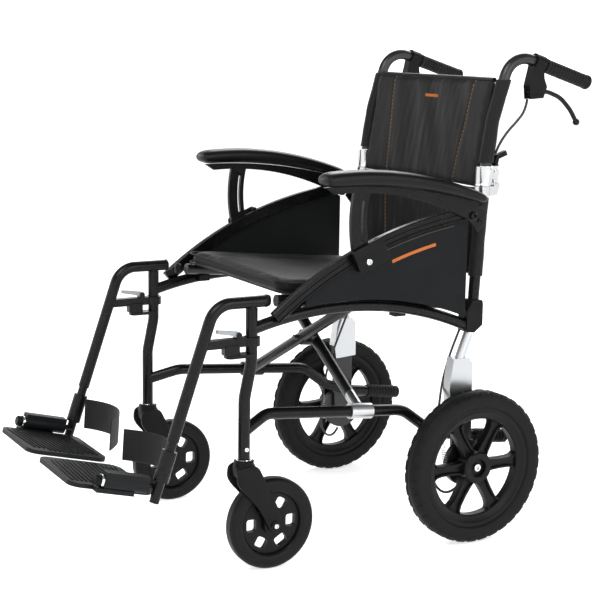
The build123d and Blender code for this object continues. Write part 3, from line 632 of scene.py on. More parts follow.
def lofted(rings):
    """Skins a row of closed rings and closes both ends."""
    bm = bmesh.new()
    loops, ends = [], []
    for ring in rings:
        verts = [bm.verts.new(point) for point in ring]
        loops.append([bm.edges.new(pair) for pair in zip(verts, verts[1:] + verts[:1])])
        ends.append(verts)
    for one, two in zip(loops, loops[1:]):
        bmesh.ops.bridge_loops(bm, edges=one + two)
    bm.faces.new(ends[0])
    bm.faces.new(ends[-1])
    return bm


BACK_X = 0.222
POST_LEAN = 0.0571
cane_knots = ((0.699, 0.2997), (0.826, 0.3185), (0.957, 0.358))


def cane_y(z):
    """Depth of the cane's axis at a height: it leans more above its first bend."""
    (z0, y0), (z1, y1), (z2, y2) = cane_knots
    if z < z1:
        return y0 + (y1 - y0) * (z - z0) / (z1 - z0)
    return y1 + (y2 - y1) * (z - z1) / (z2 - z1)


def post_y(z):
    """Depth of the back post's axis at a height."""
    return 0.287 + (z - 0.476) * POST_LEAN


def sleeve(low_z, high_z, depth_at, swell):
    """A cloth sleeve round a tube: slightly swollen at its hems and drawn in between."""
    rings = []
    count = 14
    for k in range(count + 1):
        z = low_z + (high_z - low_z) * k / count
        width = 0.0134 + swell * (cos(2 * pi * k / count) * 0.5 + 0.5) + 0.0003 * sin(5.0 * k)
        rings.append(oval((BACK_X, depth_at(z), z), (1, 0, 0), (0, 1, 0), width, width, 2.0, 24))
    return lofted(rings)


both(lambda: sleeve(0.744, 0.904, cane_y, 0.0011), "cane_sleeve", back_cloth, "back", 60)
both(lambda: sleeve(0.523, 0.676, post_y, 0.0009), "post_sleeve", back_cloth, "frame", 60)


BACK_HALF, BACK_THICK = 0.2122, 0.012


def back_shell(low_z, high_z, low_y, high_y):
    """A leaning slab that reaches into the sleeves, with rounded edges, cut up for the cloth."""
    tall = (high_z - low_z) / 2
    bm = bmesh.new()
    bmesh.ops.create_cube(bm, size=2)
    bmesh.ops.scale(bm, vec=(BACK_HALF, BACK_THICK / 2 - 0.0015, tall), verts=bm.verts)
    bmesh.ops.bevel(
        bm, geom=bm.edges[:], offset=0.0036, segments=2, profile=0.5, affect="EDGES", material=-1
    )
    for axis, count, reach in ((0, 22, BACK_HALF), (2, 12, tall)):
        sliced(bm, axis, count, reach - 0.004)
    lean = (high_y - low_y) / (high_z - low_z)
    middle = Vector((0, (low_y + high_y) / 2, (low_z + high_z) / 2))
    for vert in bm.verts:
        vert.co = middle + Vector((vert.co.x, vert.co.y + vert.co.z * lean, vert.co.z))
    return bm


stitch_top, stitch_foot = 0.146, 0.124


def stitch_x(z):
    """The ochre lines run in towards the middle as they come down."""
    return stitch_foot + (stitch_top - stitch_foot) * (z - 0.705) / 0.2


back_panels = {}
before_post = 0.0035
upper_spans = (0.6905, 0.9060, post_y(0.691) - before_post, 0.3315)
lower_spans = (0.5205, 0.6990, post_y(0.52) - before_post, post_y(0.699) - before_post)
for name, node_name, body, spans in (
    ("back_upper_panel", "upper_sling", "left_back", upper_spans),
    ("back_lower_panel", "lower_sling", "left_frame", lower_spans),
):
    panel = piece_of(back_shell(*spans), name, back_cloth, body)
    puffed(panel, 3.0, 0.004)
    low_z, high_z = spans[0], spans[1]

    def back_depth(point, low_z=low_z, high_z=high_z):
        """Hangs back in the middle like any sling, with upright creases that fan from the corners."""
        inward = max(0.0, 1 - (point.x / 0.2) ** 2)
        height = (point.z - low_z) / (high_z - low_z)
        creases = noise.noise(Vector((point.x * 26 + 2.0 * height, point.z * 4.5, 1.7))) * 0.0030
        fine = noise.noise(Vector((point.x * 70, point.z * 16, 4.1))) * 0.0009
        line = abs(abs(point.x) - stitch_x(point.z))
        seam = 0.0014 * max(0.0, 1 - line / 0.006)
        return 0.010 * inward * (0.6 + 0.4 * height) + (creases + fine) * (0.25 + inward) + seam

    pressed(panel, Vector((0, 1, 0)), back_depth)
    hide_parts(node_name)
    back_panels[name] = (panel, body, spans)

ochre = fine_surface("ochre_polyester_thread", 0x7A5A1E, 0x9A7428, 0.55, 1.0, 0.3)
orange_thread = fine_surface("orange_embroidery", 0xA04E10, 0xAC5C18, 0.6, 0.8, 0.6)


def stitches(panel, lines, long, gap, thick):
    """Straight stitches that lie on the front of a cloth, found by dropping a ray on it.  Each
    is a long bead of thread with a few faces."""
    tree = BVHTree.FromObject(panel, bpy.context.evaluated_depsgraph_get())
    bm = bmesh.new()
    for first, last in lines:
        run = (last - first).length
        for k in range(int(run / (long + gap))):
            along = first.lerp(last, (k + 0.5) * (long + gap) / run)
            hit, normal, _, _ = tree.ray_cast(along - Vector((0, 0.1, 0)), Vector((0, 1, 0)))
            if hit is None:
                continue
            turn = (last - first).to_track_quat("Z", "Y").to_matrix().to_4x4()
            place = Matrix.Translation(hit + normal * 0.0001) @ turn
            shape = Matrix.Diagonal((thick, thick, long, 1))
            bmesh.ops.create_icosphere(bm, subdivisions=1, radius=0.55, matrix=place @ shape)
    return bm


for name, (panel, body, spans) in back_panels.items():
    low_z, high_z, low_y, high_y = spans
    rows = []
    for way in SIDES.values():
        foot = Vector((way * stitch_x(low_z), low_y, low_z + 0.006))
        head = Vector((way * stitch_x(high_z), high_y, high_z - 0.003))
        rows.append((foot, head))
    seam_bm = stitches(panel, rows, 0.0062, 0.0022, 0.0013)
    pieces_here = [piece_of(seam_bm, f"{name}_stitching", ochre, body)]
    if name == "back_upper_panel":
        bar = []
        for k in range(24):
            x = -0.0215 + 0.0018 * k
            bar.append((Vector((x, 0.32, 0.8600)), Vector((x, 0.32, 0.8685))))
        bar_bm = stitches(panel, bar, 0.0078, 0.0006, 0.0020)
        mark = piece_of(bar_bm, "plain_orange_bar", orange_thread, body)
        hem_route = []
        for x in (-0.2050, -0.19, -0.12, -0.04, 0.04, 0.12, 0.19, 0.2050):
            hem_route.append(Vector((x, high_y + 0.010 * (1 - (x / 0.2052) ** 2), high_z - 0.0035)))
        hem = piece_of(beaded(hem_route, 0.0105, closed=False), "back_top_binding", binding, body)
        pieces_here += [mark, hem]
    for item in pieces_here + [panel]:
        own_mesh(item)

# ------------------------------------------------------------------------------------------
# Rear wheels: solid rubber tyres with blocks cut round both shoulders, on one-piece rims of
# glass-filled nylon whose six spokes are channelled on both faces to keep them stiff and light.

tyre_rubber = fine_surface(
    "moulded_tyre_rubber", 0x090909, 0x101011, 0.58, 1.4, 0.5, {"Specular IOR Level": 0.14}
)
wheel_nylon = fine_surface(
    "moulded_wheel_nylon", 0x070708, 0x0D0D0E, 0.4, 0.9, 0.25, {"Specular IOR Level": 0.15}
)
WHEEL_X, AXLE_Y, AXLE_Z = 0.273, 0.264, 0.1525
axle = Vector((WHEEL_X, AXLE_Y, AXLE_Z))
tyre_radius, tyre_half_width = 0.1525, 0.021
tread_steps = 108
tread_height = 0.0015


def drawn_out(bm, outline, move):
    """Fills a loop of points and draws the face out, as a slab."""
    face = bm.faces.new([bm.verts.new(point) for point in outline])
    drawn = bmesh.ops.extrude_face_region(bm, geom=[face])
    far = [v for v in drawn["geom"] if isinstance(v, bmesh.types.BMVert)]
    bmesh.ops.translate(bm, vec=move, verts=far)
    bmesh.ops.recalc_face_normals(bm, faces=bm.faces)


def tyre():
    """Base tyre a tread block's height under size, with alternate shoulder faces drawn out."""
    crown, inner, half = tyre_radius - tread_height, 0.1191, tyre_half_width
    shoulder = [
        (half, 0.128), (half, 0.1385), (0.0196, 0.1441), (0.0163, 0.1474), (0.0120, crown - 0.0011)
    ]
    middle = [(0.0075, crown), (0.0060, crown - 0.0012), (0.0045, crown), (0.0, crown)]
    right_half = [(0.0165, inner), (0.0195, 0.1218)] + shoulder + middle
    profile = right_half + [(-x, r) for x, r in reversed(right_half[:-1])]
    bm = turned(profile, axle, axle + Vector((1, 0, 0)), tread_steps)
    inside = [e for e in bm.edges if e.is_boundary]
    bmesh.ops.bridge_loops(bm, edges=inside)
    bmesh.ops.recalc_face_normals(bm, faces=bm.faces)
    blocks = []
    for face in bm.faces:
        away = face.calc_center_median() - axle
        radius = Vector((away.y, away.z)).length
        step = int((atan2(away.z, away.y) % (2 * pi)) / (2 * pi) * tread_steps)
        offset = 0 if away.x > 0 else 1
        if 0.1395 < radius < 0.1502 and abs(away.x) > 0.0095 and (step + offset) % 3:
            blocks.append(face)
    drawn = bmesh.ops.extrude_face_region(bm, geom=blocks)
    for vert in [v for v in drawn["geom"] if isinstance(v, bmesh.types.BMVert)]:
        away = vert.co - axle
        pull = 0.14 / tyre_radius
        outward = Vector((away.x * 1.2, away.y * pull, away.z * pull)).normalized()
        vert.co += Vector((outward.x * 0.2, outward.y, outward.z)) * tread_height
    bmesh.ops.delete(bm, geom=blocks, context="FACES_KEEP_BOUNDARY")
    return bm


for tyre_piece, side in zip(both(tyre, "rear_tyre_tread", tyre_rubber, "rear_wheel", 28), SIDES):
    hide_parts(f"{side}_rear_tyre")

spoke_count = 6


def spoked_wheel():
    """Rim and hub turned, and a channelled spoke turned round six times between them."""
    rim = [(-0.016, 0.1190), (-0.0165, 0.1120), (-0.0135, 0.1085), (-0.0105, 0.0990), (-0.008, 0.0968),
           (0.008, 0.0968), (0.0105, 0.0990), (0.0135, 0.1085), (0.0165, 0.1120), (0.016, 0.1190),
           (-0.016, 0.1190)]
    hub = [(-0.0155, 0.0085), (-0.0155, 0.0290), (-0.0135, 0.0315), (0.0160, 0.0315), (0.0190, 0.0290),
           (0.0190, 0.0190), (0.0175, 0.0175), (0.0105, 0.0172), (0.0105, 0.0085), (-0.0155, 0.0085)]
    bm = turned(rim, axle, axle + Vector((1, 0, 0)), 72)
    hub_bm = turned(hub, axle, axle + Vector((1, 0, 0)), 48)
    other = bpy.data.meshes.new("hub")
    hub_bm.to_mesh(other)
    hub_bm.free()
    bm.from_mesh(other)
    half_at = (
        (0.0285, 0.0135), (0.040, 0.0112), (0.060, 0.0102), (0.080, 0.0104), (0.090, 0.0130),
        (0.0985, 0.0200),
    )
    spoke_half = 0.0095
    spoke = bmesh.new()
    near_edge = [(-spoke_half, r, w) for r, w in half_at]
    far_edge = [(-spoke_half, r, -w) for r, w in reversed(half_at)]
    drawn_out(spoke, near_edge + far_edge, (2 * spoke_half, 0, 0))
    for way in (1, -1):
        flat = [f for f in spoke.faces if f.normal.x * way > 0.9]
        bmesh.ops.inset_region(spoke, faces=flat, thickness=0.0042, depth=0)
        bmesh.ops.inset_region(spoke, faces=flat, thickness=0.0012, depth=-0.0055)
    outer = [
        e for e in spoke.edges
        if e.calc_face_angle(0) > 1.2 and all(abs(abs(v.co.x) - spoke_half) < 1e-4 for v in e.verts)
    ]
    bmesh.ops.bevel(
        spoke, geom=outer, offset=0.0012, segments=2, profile=0.5, affect="EDGES", material=-1
    )
    one = bpy.data.meshes.new("spoke")
    spoke.to_mesh(one)
    spoke.free()
    for k in range(spoke_count):
        turn = Matrix.Translation(axle) @ Matrix.Rotation(2 * pi * k / spoke_count, 4, "X")
        held = one.copy()
        held.transform(turn)
        bm.from_mesh(held)
    return bm


for wheel_piece, side in zip(
    both(spoked_wheel, "rear_wheel_moulding", wheel_nylon, "rear_wheel", 30), SIDES
):
    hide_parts(f"{side}_rear_wheel")
dress(wheel_nylon, "caster_wheel")

# ------------------------------------------------------------------------------------------
# Screws of the axles and of the front post's foot, and the washer over each caster fork: plated
# steel heads with a round recess, all facing outwards.

FORK_X, FORK_Y = 0.226, -0.2175
CASTER_Y, CASTER_Z = -0.1625, 0.087


def screw(place, radius, tall):
    """A chamfered head with a recess, on a face that looks out to the side."""
    profile = [(0, 0), (0, radius), (tall * 0.75, radius), (tall, radius * 0.86), (tall, radius * 0.5),
               (tall * 0.45, radius * 0.46), (tall * 0.45, 0)]
    return turned(profile, place, Vector(place) + Vector((1, 0, 0)), 24)


def fork_washer():
    """A dished ring that seals the caster's upper bearing."""
    profile = [(0, 0.0105), (0, 0.0150), (0.0012, 0.0156), (0.0024, 0.0150), (0.0028, 0.0112), (0, 0.0105)]
    return turned(profile, (FORK_X, FORK_Y, 0.2146), (FORK_X, FORK_Y, 1))


def screws(rows):
    """Pairs of screws, one pair a row: name, place, head radius, height, finish, body, slot (not used)."""
    for name, place, radius, tall, paint, body, finish_slot in rows:
        both(lambda: screw(place, radius, tall), name, paint, body)


screws((
    ("axle_end_screw", (0.2822, AXLE_Y, AXLE_Z), 0.0082, 0.0062, bright_chrome, "frame", "chrome"),
    ("caster_axle_screw", (0.2533, CASTER_Y, CASTER_Z), 0.0046, 0.0026, bright_chrome, "caster_fork",
     "chrome"),
))
both(fork_washer, "fork_washer", bright_chrome, "caster_fork")
screws((("post_foot_screw", (0.2365, FORK_Y, 0.236), 0.0042, 0.0026, bright_chrome, "frame", "chrome"),))

# ------------------------------------------------------------------------------------------
# Arm pads: moulded polyurethane skin over foam on a steel insert, thick and round at the
# front, tapering to the rear pivot.

pad_foam = fine_surface(
    "self_skinned_polyurethane", 0x060607, 0x0B0B0C, 0.34, 2.0, 0.3, {"Specular IOR Level": 0.18}
)
pad_under = ((-0.080, 0.7130), (0.092, 0.7063), (0.268, 0.6702))
pad_over = ((-0.080, 0.7400), (0.095, 0.7365), (0.271, 0.6895))
pad_x = 0.2636


def through(points, share):
    """A point on the smooth arch through three points, from 0 at the first to 1 at the last."""
    (y0, z0), (y1, z1), (y2, z2) = points
    a, b, c = 2 * (share - 0.5) * (share - 1), 4 * share * (1 - share), 2 * share * (share - 0.5)
    return a * y0 + b * y1 + c * y2, a * z0 + b * z1 + c * z2


def arm_pad():
    """Rings along the arch, drawn in at the two ends."""
    rings = []
    even = [0.06 + 0.86 * k / 16 for k in range(1, 17)]
    shares = [0, 0.006, 0.018, 0.035, 0.06] + even + [0.95, 0.975, 0.99, 1]
    for share in shares:
        ends = min(share / 0.06, (1 - share) / 0.05, 1.0)
        draw = 0.42 + 0.58 * (1 - (1 - ends) ** 2) ** 0.5
        low_y, low_z = through(pad_under, share)
        high_y, high_z = through(pad_over, share)
        width = 0.0253 - 0.003 * share
        rise = Vector((0, high_y - low_y, high_z - low_z))
        centre = Vector((pad_x, (low_y + high_y) / 2, (low_z + high_z) / 2))
        rings.append(oval(centre, (1, 0, 0), rise.normalized(), width * (0.72 + 0.28 * draw),
                          rise.length / 2 * draw, 2.9, 32))
    return lofted(rings)


for pad, side in zip(both(arm_pad, "arm_pad_skin", pad_foam, "armrest", 60), SIDES):
    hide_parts(f"{side}_arm_pad")

# ------------------------------------------------------------------------------------------
# Arm rails: arched aluminium extrusions that frame the side panels, each with a plastic clamp
# for the arm's post at the middle and a flat steel bracket at the rear pivot.

rail_x = 0.2435
rail_arch = ((-0.166, 0.477), (0.025, 0.592), (0.250, 0.650))


def along_rail(share, drop=0.0):
    """A point on the arm rail's arch, its direction there, and the way down across it."""
    y, z = through(rail_arch, share)
    y2, z2 = through(rail_arch, share + 0.01)
    ahead = Vector((0, y2 - y, z2 - z)).normalized()
    down = Vector((0, ahead.z, -ahead.y))
    return Vector((rail_x, y, z)) + down * drop, ahead, down


def arm_rail():
    """An extruded rail with a lip along its top and bottom edges and a channel between them."""
    section = [
        (-0.0065, -0.0105), (-0.0050, -0.0120), (0.0055, -0.0120), (0.0068, -0.0108),
        (0.0068, -0.0088), (0.0045, -0.0078), (0.0045, -0.0015), (0.0062, -0.0008),
        (0.0062, 0.0008), (0.0045, 0.0015), (0.0045, 0.0078), (0.0068, 0.0088), (0.0068, 0.0108),
        (0.0055, 0.0120), (-0.0050, 0.0120), (-0.0065, 0.0105),
    ]
    rings = []
    for k in range(41):
        place, _, down = along_rail(0.002 + 0.996 * k / 40)
        rings.append([place + Vector((x, 0, 0)) + down * d for x, d in section])
    return lofted(rings)


def plate(outline, inner_x, outer_x, soft):
    """A flat piece on edge: an outline of (y, z) points, drawn out to the side and eased all round."""
    bm = bmesh.new()
    drawn_out(bm, [(inner_x, y, z) for y, z in outline], (outer_x - inner_x, 0, 0))
    edges = [e for e in bm.edges if e.calc_face_angle(0) > 0.9]
    bmesh.ops.bevel(bm, geom=edges, offset=soft, segments=3, profile=0.5, affect="EDGES", material=-1)
    return bm


def rounded(corners, radius, steps=5):
    """An outline whose corners are arcs."""
    spots = []
    count = len(corners)
    for k, here in enumerate(corners):
        here = Vector(here)
        back = (Vector(corners[k - 1]) - here).normalized()
        ahead = (Vector(corners[(k + 1) % count]) - here).normalized()
        for step in range(steps + 1):
            share = step / steps
            spots.append(here + back * radius * (1 - share) ** 2 + ahead * radius * share ** 2)
    return spots


def clamp_plate(inner_x, outer_x, first, last, above, below, soft, corner):
    """One slice of the clamp, slanted with the rail, between two distances along it."""
    middle, ahead, down = along_rail(0.50)
    corners = []
    for along, drop in ((first, -above), (last, -above), (last, below), (first, below)):
        spot = middle + ahead * along + down * drop
        corners.append((spot.y, spot.z))
    return plate(rounded(corners, corner), inner_x, outer_x, soft)


rails = both(arm_rail, "arm_rail_extrusion", powder_coat, "frame", 30)
for made, side in zip(rails, SIDES):
    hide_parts(f"{side}_arm_rail")
for name, sizes in (
    ("arm_clamp_cover", (0.2594, 0.2660, -0.038, 0.031, 0.0165, 0.030, 0.0018, 0.009)),
    ("arm_clamp_front", (0.2492, 0.2596, -0.036, -0.0235, 0.0150, 0.0285, 0.0010, 0.004)),
    ("arm_clamp_rear", (0.2492, 0.2596, 0.0180, 0.0295, 0.0150, 0.0285, 0.0010, 0.004)),
):
    both(lambda: clamp_plate(*sizes), name, moulded_nylon, "frame", 30)

pivot_y, pivot_z = 0.254, 0.647


def pivot_bracket():
    """The plate that ties the rail's rear end to the back post, round the pivot."""
    eye_radius = 0.0135
    eye = []
    for angle in range(-60, 150, 21):
        turn = radians(angle)
        eye.append((pivot_y + eye_radius * cos(turn), pivot_z + eye_radius * sin(turn)))
    ear = [(0.2800, 0.6620), (0.2945, 0.6640), (0.2950, 0.6250), (0.2830, 0.6080)]
    return plate(eye + ear, 0.2332, 0.2372, 0.0008)


def pivot_boss():
    """The turned spacer that the armrest swings on."""
    profile = [(0.0, 0.0), (0.0, 0.0118), (0.014, 0.0118), (0.0150, 0.0108), (0.0150, 0.0)]
    return turned(profile, (0.2368, pivot_y, pivot_z), (1, pivot_y, pivot_z))


both(pivot_bracket, "armrest_bracket", powder_coat, "frame", 30)
both(pivot_boss, "armrest_pivot_boss", powder_coat, "frame", 30)
screws((
    ("clamp_screw", (0.2656, 0.018, 0.573), 0.0062, 0.0036, bright_chrome, "frame", "chrome"),
    ("armrest_pivot_screw", (0.2590, pivot_y, pivot_z), 0.0076, 0.0050, powder_coat, "frame",
     "frame_paint"),
    ("bracket_screw", (0.2370, 0.2850, 0.6330), 0.0046, 0.0028, powder_coat, "frame", "frame_paint"),
))

# ------------------------------------------------------------------------------------------
# Caster forks: one glass-filled nylon moulding each, a crown under the front post and two broad
# legs that sweep back to the wheel's axle, which is a plain steel pin.


def fork_leg(inner_x, outer_x):
    """One leg: a closed smooth outline drawn out to the side, with soft edges."""
    knots = [
        (-0.2365, 0.2060), (-0.2000, 0.2075), (-0.1905, 0.1900), (-0.1720, 0.1500),
        (-0.1545, 0.1180), (-0.1480, 0.0900), (-0.1530, 0.0760), (-0.1625, 0.0715),
        (-0.1725, 0.0760), (-0.1800, 0.0920), (-0.1920, 0.1180), (-0.2180, 0.1480),
        (-0.2400, 0.1720), (-0.2420, 0.1900),
    ]
    count = len(knots)
    outline = []
    for k in range(count):
        before, here, after = (Vector(knots[(k + d) % count]) for d in (-1, 0, 1))
        for share in (0.0, 0.33, 0.66):
            start, end = (before + here) / 2, (here + after) / 2
            bend = here * 2 * share * (1 - share)
            outline.append(start * (1 - share) ** 2 + bend + end * share ** 2)
    return plate(outline, inner_x, outer_x, 0.0018)


def fork_crown():
    """The crown: a rounded block under the post that closes the gap between the legs."""
    rings = []
    for z, half_x, half_y, shift in (
        (0.1830, 0.0215, 0.0205, 0.004), (0.1900, 0.0225, 0.0215, 0.003),
        (0.2010, 0.0205, 0.0200, 0.001), (0.2075, 0.0185, 0.0185, 0.0),
        (0.2090, 0.0178, 0.0178, 0.0), (0.2100, 0.0178, 0.0178, 0.0),
        (0.2106, 0.0184, 0.0184, 0.0), (0.2128, 0.0184, 0.0184, 0.0), (0.2138, 0.0174, 0.0174, 0.0),
    ):
        squareness = 3.0 if z < 0.205 else 2.2
        centre = (FORK_X, FORK_Y + shift, z)
        rings.append(oval(centre, (1, 0, 0), (0, 1, 0), half_x, half_y, squareness, 32))
    return lofted(rings)


def caster_pin(profile, start_x):
    """A turned piece on the caster's axle."""
    return turned(profile, (start_x, CASTER_Y, CASTER_Z), (1, CASTER_Y, CASTER_Z))


forks = both(fork_crown, "fork_crown", moulded_nylon, "caster_fork", 40)
for made, side in zip(forks, SIDES):
    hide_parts(f"{side}_caster_fork")
for name, inner_x, outer_x in (("fork_outer_leg", 0.2438, 0.2498), ("fork_inner_leg", 0.2022, 0.2082)):
    both(lambda: fork_leg(inner_x, outer_x), name, moulded_nylon, "caster_fork", 30)
fork_boss = [(0.0, 0.0), (0.0, 0.0092), (0.0026, 0.0092), (0.0034, 0.0084), (0.0034, 0.0)]
axle_pin = [(0.0, 0.0), (0.0, 0.0045), (0.0360, 0.0045), (0.0360, 0.0)]
both(lambda: caster_pin(fork_boss, 0.2496), "fork_boss", moulded_nylon, "caster_fork")
both(lambda: caster_pin(axle_pin, 0.2080), "caster_axle", satin_alloy, "caster_fork")

# ------------------------------------------------------------------------------------------
# Handles: ribbed rubber grips pushed on the canes, closed at the end, and the folded steel
# clip of the back hinge.

grip_rubber = fine_surface(
    "ribbed_grip_rubber", 0x0A0A0B, 0x121213, 0.55, 1.2, 0.4, {"Specular IOR Level": 0.15}
)
cane_corner, cane_end = Vector((BACK_X, 0.358, 0.957)), Vector((BACK_X, 0.545, 0.898))
handle = (cane_end - cane_corner).normalized()
grip_long = 0.116
grip_end = cane_end + handle * 0.004
grip_start = grip_end - handle * grip_long


def ribs(count, first, pitch, low_radius, rise, fall, foot):
    """The outline of a row of round ribs: where each rises, where it falls, and where it ends."""
    profile = []
    for k in range(count):
        start = first + pitch * k
        profile += [(start, low_radius), (start + rise, 0.0140), (start + fall, 0.0140)]
        profile.append((start + foot, low_radius))
    return profile


def grip():
    """A flange, thirteen soft ribs and a domed end."""
    flange = [(0.0, 0.0112), (0.0, 0.0140), (0.0012, 0.0145), (0.0060, 0.0145), (0.0075, 0.0134)]
    dome = [(0.1062, 0.0134), (0.1080, 0.0145), (0.1135, 0.0145), (0.1155, 0.0128), (grip_long, 0.0080),
            (grip_long, 0.0)]
    profile = flange + ribs(13, 0.009, 0.0074, 0.0131, 0.0016, 0.0046, 0.0062) + dome
    return turned(profile, grip_start, grip_end, 40)


for made, side in zip(both(grip, "ribbed_grip", grip_rubber, "back", 50), SIDES):
    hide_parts(f"{side}_grip")


def hinge_clip():
    """Sheet folded round the cane's foot, open to the rear, its two flanges riveted together."""
    centre_y, wrap_radius, foot_z, tall = 0.3020, 0.0165, 0.7015, 0.0300
    wrap = []
    for k in range(17):
        turn = radians(28 + 304 * k / 16)
        wrap.append((BACK_X + wrap_radius * sin(turn), centre_y + wrap_radius * cos(turn)))
    flange_y = centre_y + 0.0265
    outline = [(BACK_X + 0.0085, flange_y)] + wrap + [(BACK_X - 0.0085, flange_y)]
    inner = [(BACK_X + (x - BACK_X) * 0.915, centre_y + (y - centre_y) * 0.93) for x, y in wrap]
    inner = [(BACK_X + 0.0073, flange_y)] + inner + [(BACK_X - 0.0073, flange_y)]
    bm = bmesh.new()
    drawn_out(bm, [(x, y, foot_z) for x, y in outline + inner[::-1]], (0, 0.0050, tall))
    return bm


both(hinge_clip, "hinge_clip", bright_chrome, "back", 30)
screws((
    ("hinge_rivet_upper", (0.2312, 0.3240, 0.7285), 0.0036, 0.0022, bright_chrome, "back", "chrome"),
    ("hinge_rivet_lower", (0.2318, 0.3215, 0.7080), 0.0036, 0.0022, bright_chrome, "back", "chrome"),
))

# ------------------------------------------------------------------------------------------
# Footplates: moulded polypropylene with raised ribs on top, on a pin with a sprung knob at the
# front.  A webbing strap behind each heel joins the socket to the plate's inner corner.

plate_plastic = fine_surface(
    "moulded_polypropylene", 0x0E0F10, 0x16181A, 0.5, 1.0, 0.4, {"Specular IOR Level": 0.15}
)
dress(plate_plastic, "footplate")
foot_tilt = radians(14)
foot_along = Vector((0, -cos(foot_tilt), sin(foot_tilt)))
foot_up = Vector((0, sin(foot_tilt), cos(foot_tilt)))
pin_x, pin_z = 0.218, 0.184
knee_y, knee_z = -0.360, 0.266
leg_slope = 0.082 / 0.242
pin_start = Vector((pin_x, knee_y + (pin_z - knee_z) * leg_slope, pin_z))


def on_plate(x, along, up):
    """A point of the footplate's own frame: across, along the pin, above the plate's top."""
    return pin_start + Vector((x - pin_x, 0, 0)) + foot_along * along + foot_up * (up - 0.0125)


def plate_ribs():
    """Slanted anti-slip ribs between the plate's rounded corners."""
    bm = bmesh.new()
    turn = Matrix(((1, 0, 0), foot_along, foot_up)).transposed().to_4x4()
    for k in range(15):
        along = 0.014 + 0.0092 * k
        inset = 0.006 if 3 < k < 12 else 0.020
        left_x, right_x = 0.026 + inset, 0.186
        place = Matrix.Translation(on_plate((left_x + right_x) / 2, along, 0.0008)) @ turn
        skew = Matrix.Rotation(radians(4.0), 4, "Z")
        made = bmesh.ops.create_cube(
            bm, size=1, matrix=place @ skew @ Matrix.Diagonal((right_x - left_x, 0.0036, 0.0024, 1))
        )
        rims = list(dict.fromkeys(e for v in made["verts"] for e in v.link_edges))
        bmesh.ops.bevel(
            bm, geom=rims, offset=0.0007, segments=2, profile=0.5, affect="EDGES", material=-1
        )
    return bm


def on_pin(profile, along):
    """A turned piece on the footplate's pin, a distance along it."""
    return turned(profile, pin_start + foot_along * along, pin_start + foot_along * 0.2)


both(plate_ribs, "footplate_ribs", plate_plastic, "footplate", 30)
pin_ring = [
    (0.0, 0.0052), (0.0, 0.0108), (0.0012, 0.0118), (0.0050, 0.0118), (0.0060, 0.0106), (0.0060, 0.0052)
]
pin_knob = [
    (0.0, 0.0), (0.0, 0.0092), (0.0015, 0.0104), (0.0085, 0.0104), (0.0110, 0.0085), (0.0118, 0.0)
]
both(lambda: on_pin(pin_ring, 0.1052), "footplate_pin_ring", bright_chrome, "hanger")
both(lambda: on_pin(pin_knob, 0.1110), "footplate_knob", moulded_nylon, "hanger")


def webbing():
    """Woven polyester strap: a rib every 2 mm across its width, dull and slightly hairy."""
    made, tree, shader = finish_of(
        "woven_polyester_webbing", {"Roughness": 0.75, "Sheen Weight": 0.15, "Specular IOR Level": 0.25}
    )
    place = node(tree, "ShaderNodeTexCoord")
    bands = node(
        tree, "ShaderNodeTexWave", [("bands_direction", "Z"), ("Scale", wave_scale(0.002))],
        Vector=place.outputs["Object"],
    )
    tone = node(
        tree, "ShaderNodeMixRGB", [("Color1", linear(0x09090A)), ("Color2", linear(0x161617))],
        Fac=bands.outputs["Fac"],
    )
    relief = node(
        tree, "ShaderNodeBump", [("Strength", 0.5), ("Distance", 0.0005)], Height=bands.outputs["Fac"]
    )
    tree.links.new(tone.outputs["Color"], shader.inputs["Base Color"])
    tree.links.new(relief.outputs["Normal"], shader.inputs["Normal"])
    return made


strap_cloth = webbing()
strap_arc = ((0.2114, -0.3648), (0.120, -0.3328), (0.0335, -0.3790))


def heel_strap():
    """A flat band on edge that bows back behind the heel."""
    foot_z, tall, half_thick = 0.1825, 0.0610, 0.0011
    bm = bmesh.new()
    front, back = [], []
    for k in range(29):
        x, y = through(strap_arc, k / 28)
        front.append((x, y - half_thick, foot_z))
        back.append((x, y + half_thick, foot_z))
    drawn_out(bm, front + back[::-1], (0, 0.004, tall))
    level = [e for e in bm.edges if abs(e.verts[0].co.z - e.verts[1].co.z) < 0.001]
    long_rims = [e for e in level if e.calc_face_angle(0) > 1.2]
    bmesh.ops.bevel(
        bm, geom=long_rims, offset=0.0007, segments=1, profile=0.5, affect="EDGES", material=-1
    )
    return bm


straps = both(heel_strap, "heel_strap_webbing", strap_cloth, "hanger", 40)
for strap, (side, way) in zip(straps, SIDES.items()):
    # The ride that both() gave each strap is taken off first.
    strap.parent = None
    del strap["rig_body"]
    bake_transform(strap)
    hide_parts(f"{side}_heel_strap")

# ------------------------------------------------------------------------------------------
# Small parts of the frame: rubber sleeves on the tipping levers, end caps, the spring that pulls each drum
# brake off, and under each arm rail a plain printed bar and a thin ochre bead, partly the panel's edge
# line and partly a painted highlight of the rail's lower lip.


def tipping_sleeve():
    """A ribbed rubber foot sleeve, closed at its end."""
    mouth = [(0.0, 0.0112), (0.0, 0.0128), (0.002, 0.0134)]
    end = [(0.0760, 0.0134), (0.0800, 0.0134), (0.0822, 0.0118), (0.0826, 0.0)]
    profile = mouth + ribs(9, 0.006, 0.0075, 0.0128, 0.0018, 0.0044, 0.0062) + end
    return turned(profile, (0.205, 0.308, 0.1927), (0.205, 0.386, 0.1820), 32)


both(tipping_sleeve, "tipping_lever_sleeve", grip_rubber, "frame", 50)


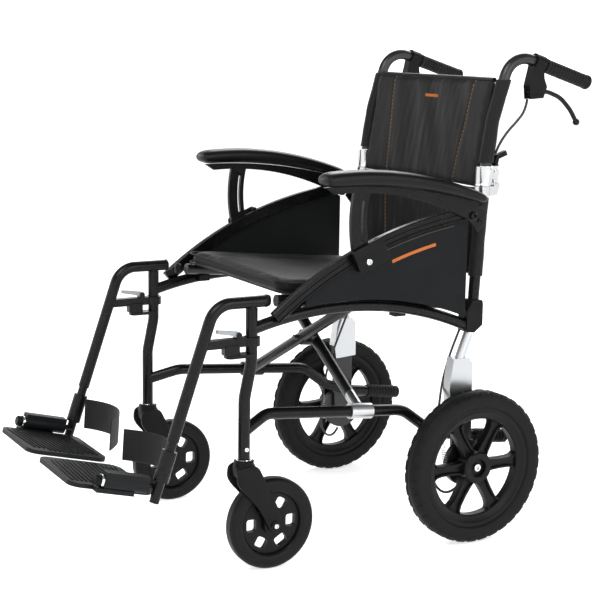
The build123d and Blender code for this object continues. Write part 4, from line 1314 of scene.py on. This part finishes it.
def cap(place, toward):
    """A push-in plug with a domed head, for a 22 mm tube."""
    radius = 0.0116
    profile = [(-0.004, 0.0), (-0.004, radius - 0.0012), (0.0, radius), (0.0022, radius),
               (0.0042, radius * 0.8), (0.0050, 0.0)]
    return turned(profile, place, Vector(place) + Vector(toward), 28)


both(
    lambda: cap((0.226, -0.177, 0.508), (0, 1, 0)), "hanger_end_cap", moulded_nylon,
    "hanger", 50,
)
for name, way, body in (("left_seat_rail_cap", 1, "brace_b"), ("right_seat_rail_cap", -1, "brace_a")):
    rail_cap = cap((way * 0.2, -0.160, 0.503), (0, -1, 0.0875))
    piece_of(rail_cap, name, moulded_nylon, body, 50)


def spring():
    """A close-wound steel spring between the drum's arm and the cable stop."""
    turns, steps, coil_radius, wire = 13, 12, 0.0042, 0.0013
    foot, head = Vector((0.2405, 0.2235, 0.128)), Vector((0.2405, 0.2145, 0.186))
    axis = (head - foot).normalized()
    across = axis.cross(Vector((1, 0, 0))).normalized()
    points = [foot - axis * 0.008]
    for k in range(turns * steps + 1):
        turn = 2 * pi * k / steps
        spoke = across * cos(turn) + Vector((1, 0, 0)) * sin(turn)
        points.append(foot.lerp(head, k / (turns * steps)) + coil_radius * spoke)
    points.append(head + axis * 0.012)
    return beaded(points, wire, closed=False)


both(spring, "brake_return_spring", satin_alloy, "frame", 60)

# The bead's ochre colour is partly the panel's own edge line and partly a painted highlight of the arm
# rail's lower lip.
edge_line_and_highlight = fine_surface("ochre_edge_line_and_painted_highlight", 0x3A3222, 0x4A4028, 0.5, 1.0, 0.3)


def under_rail(drop, first, last, count=14):
    """Points along the arm rail's arch, a drop below its middle line, on the panel's face."""
    spots = []
    for k in range(count):
        place, _, _ = along_rail(first + (last - first) * k / (count - 1), drop)
        spots.append(place + Vector((0.0018, 0, 0)))
    return spots


def panel_bead_with_painted_highlight():
    """A thin ochre bead along the rear half of the rail: partly the panel's edge line, partly a painted
    highlight of the rail's lower lip.
    """
    return beaded(under_rail(0.0185, 0.56, 0.93), 0.0016, closed=False)


both(panel_bead_with_painted_highlight, "panel_bead_with_painted_highlight", edge_line_and_highlight, "frame", 60)


def panel_bar():
    """A plain bar printed on the panel, level with the arm rail."""
    route = under_rail(0.044, 0.60, 0.83, 8)
    across = (0, -0.28, 0.96)
    return lofted([oval(point, (1, 0, 0), across, 0.0006, 0.0032, 4.0, 12) for point in route])


both(panel_bar, "plain_panel_bar", orange_thread, "frame", 60)
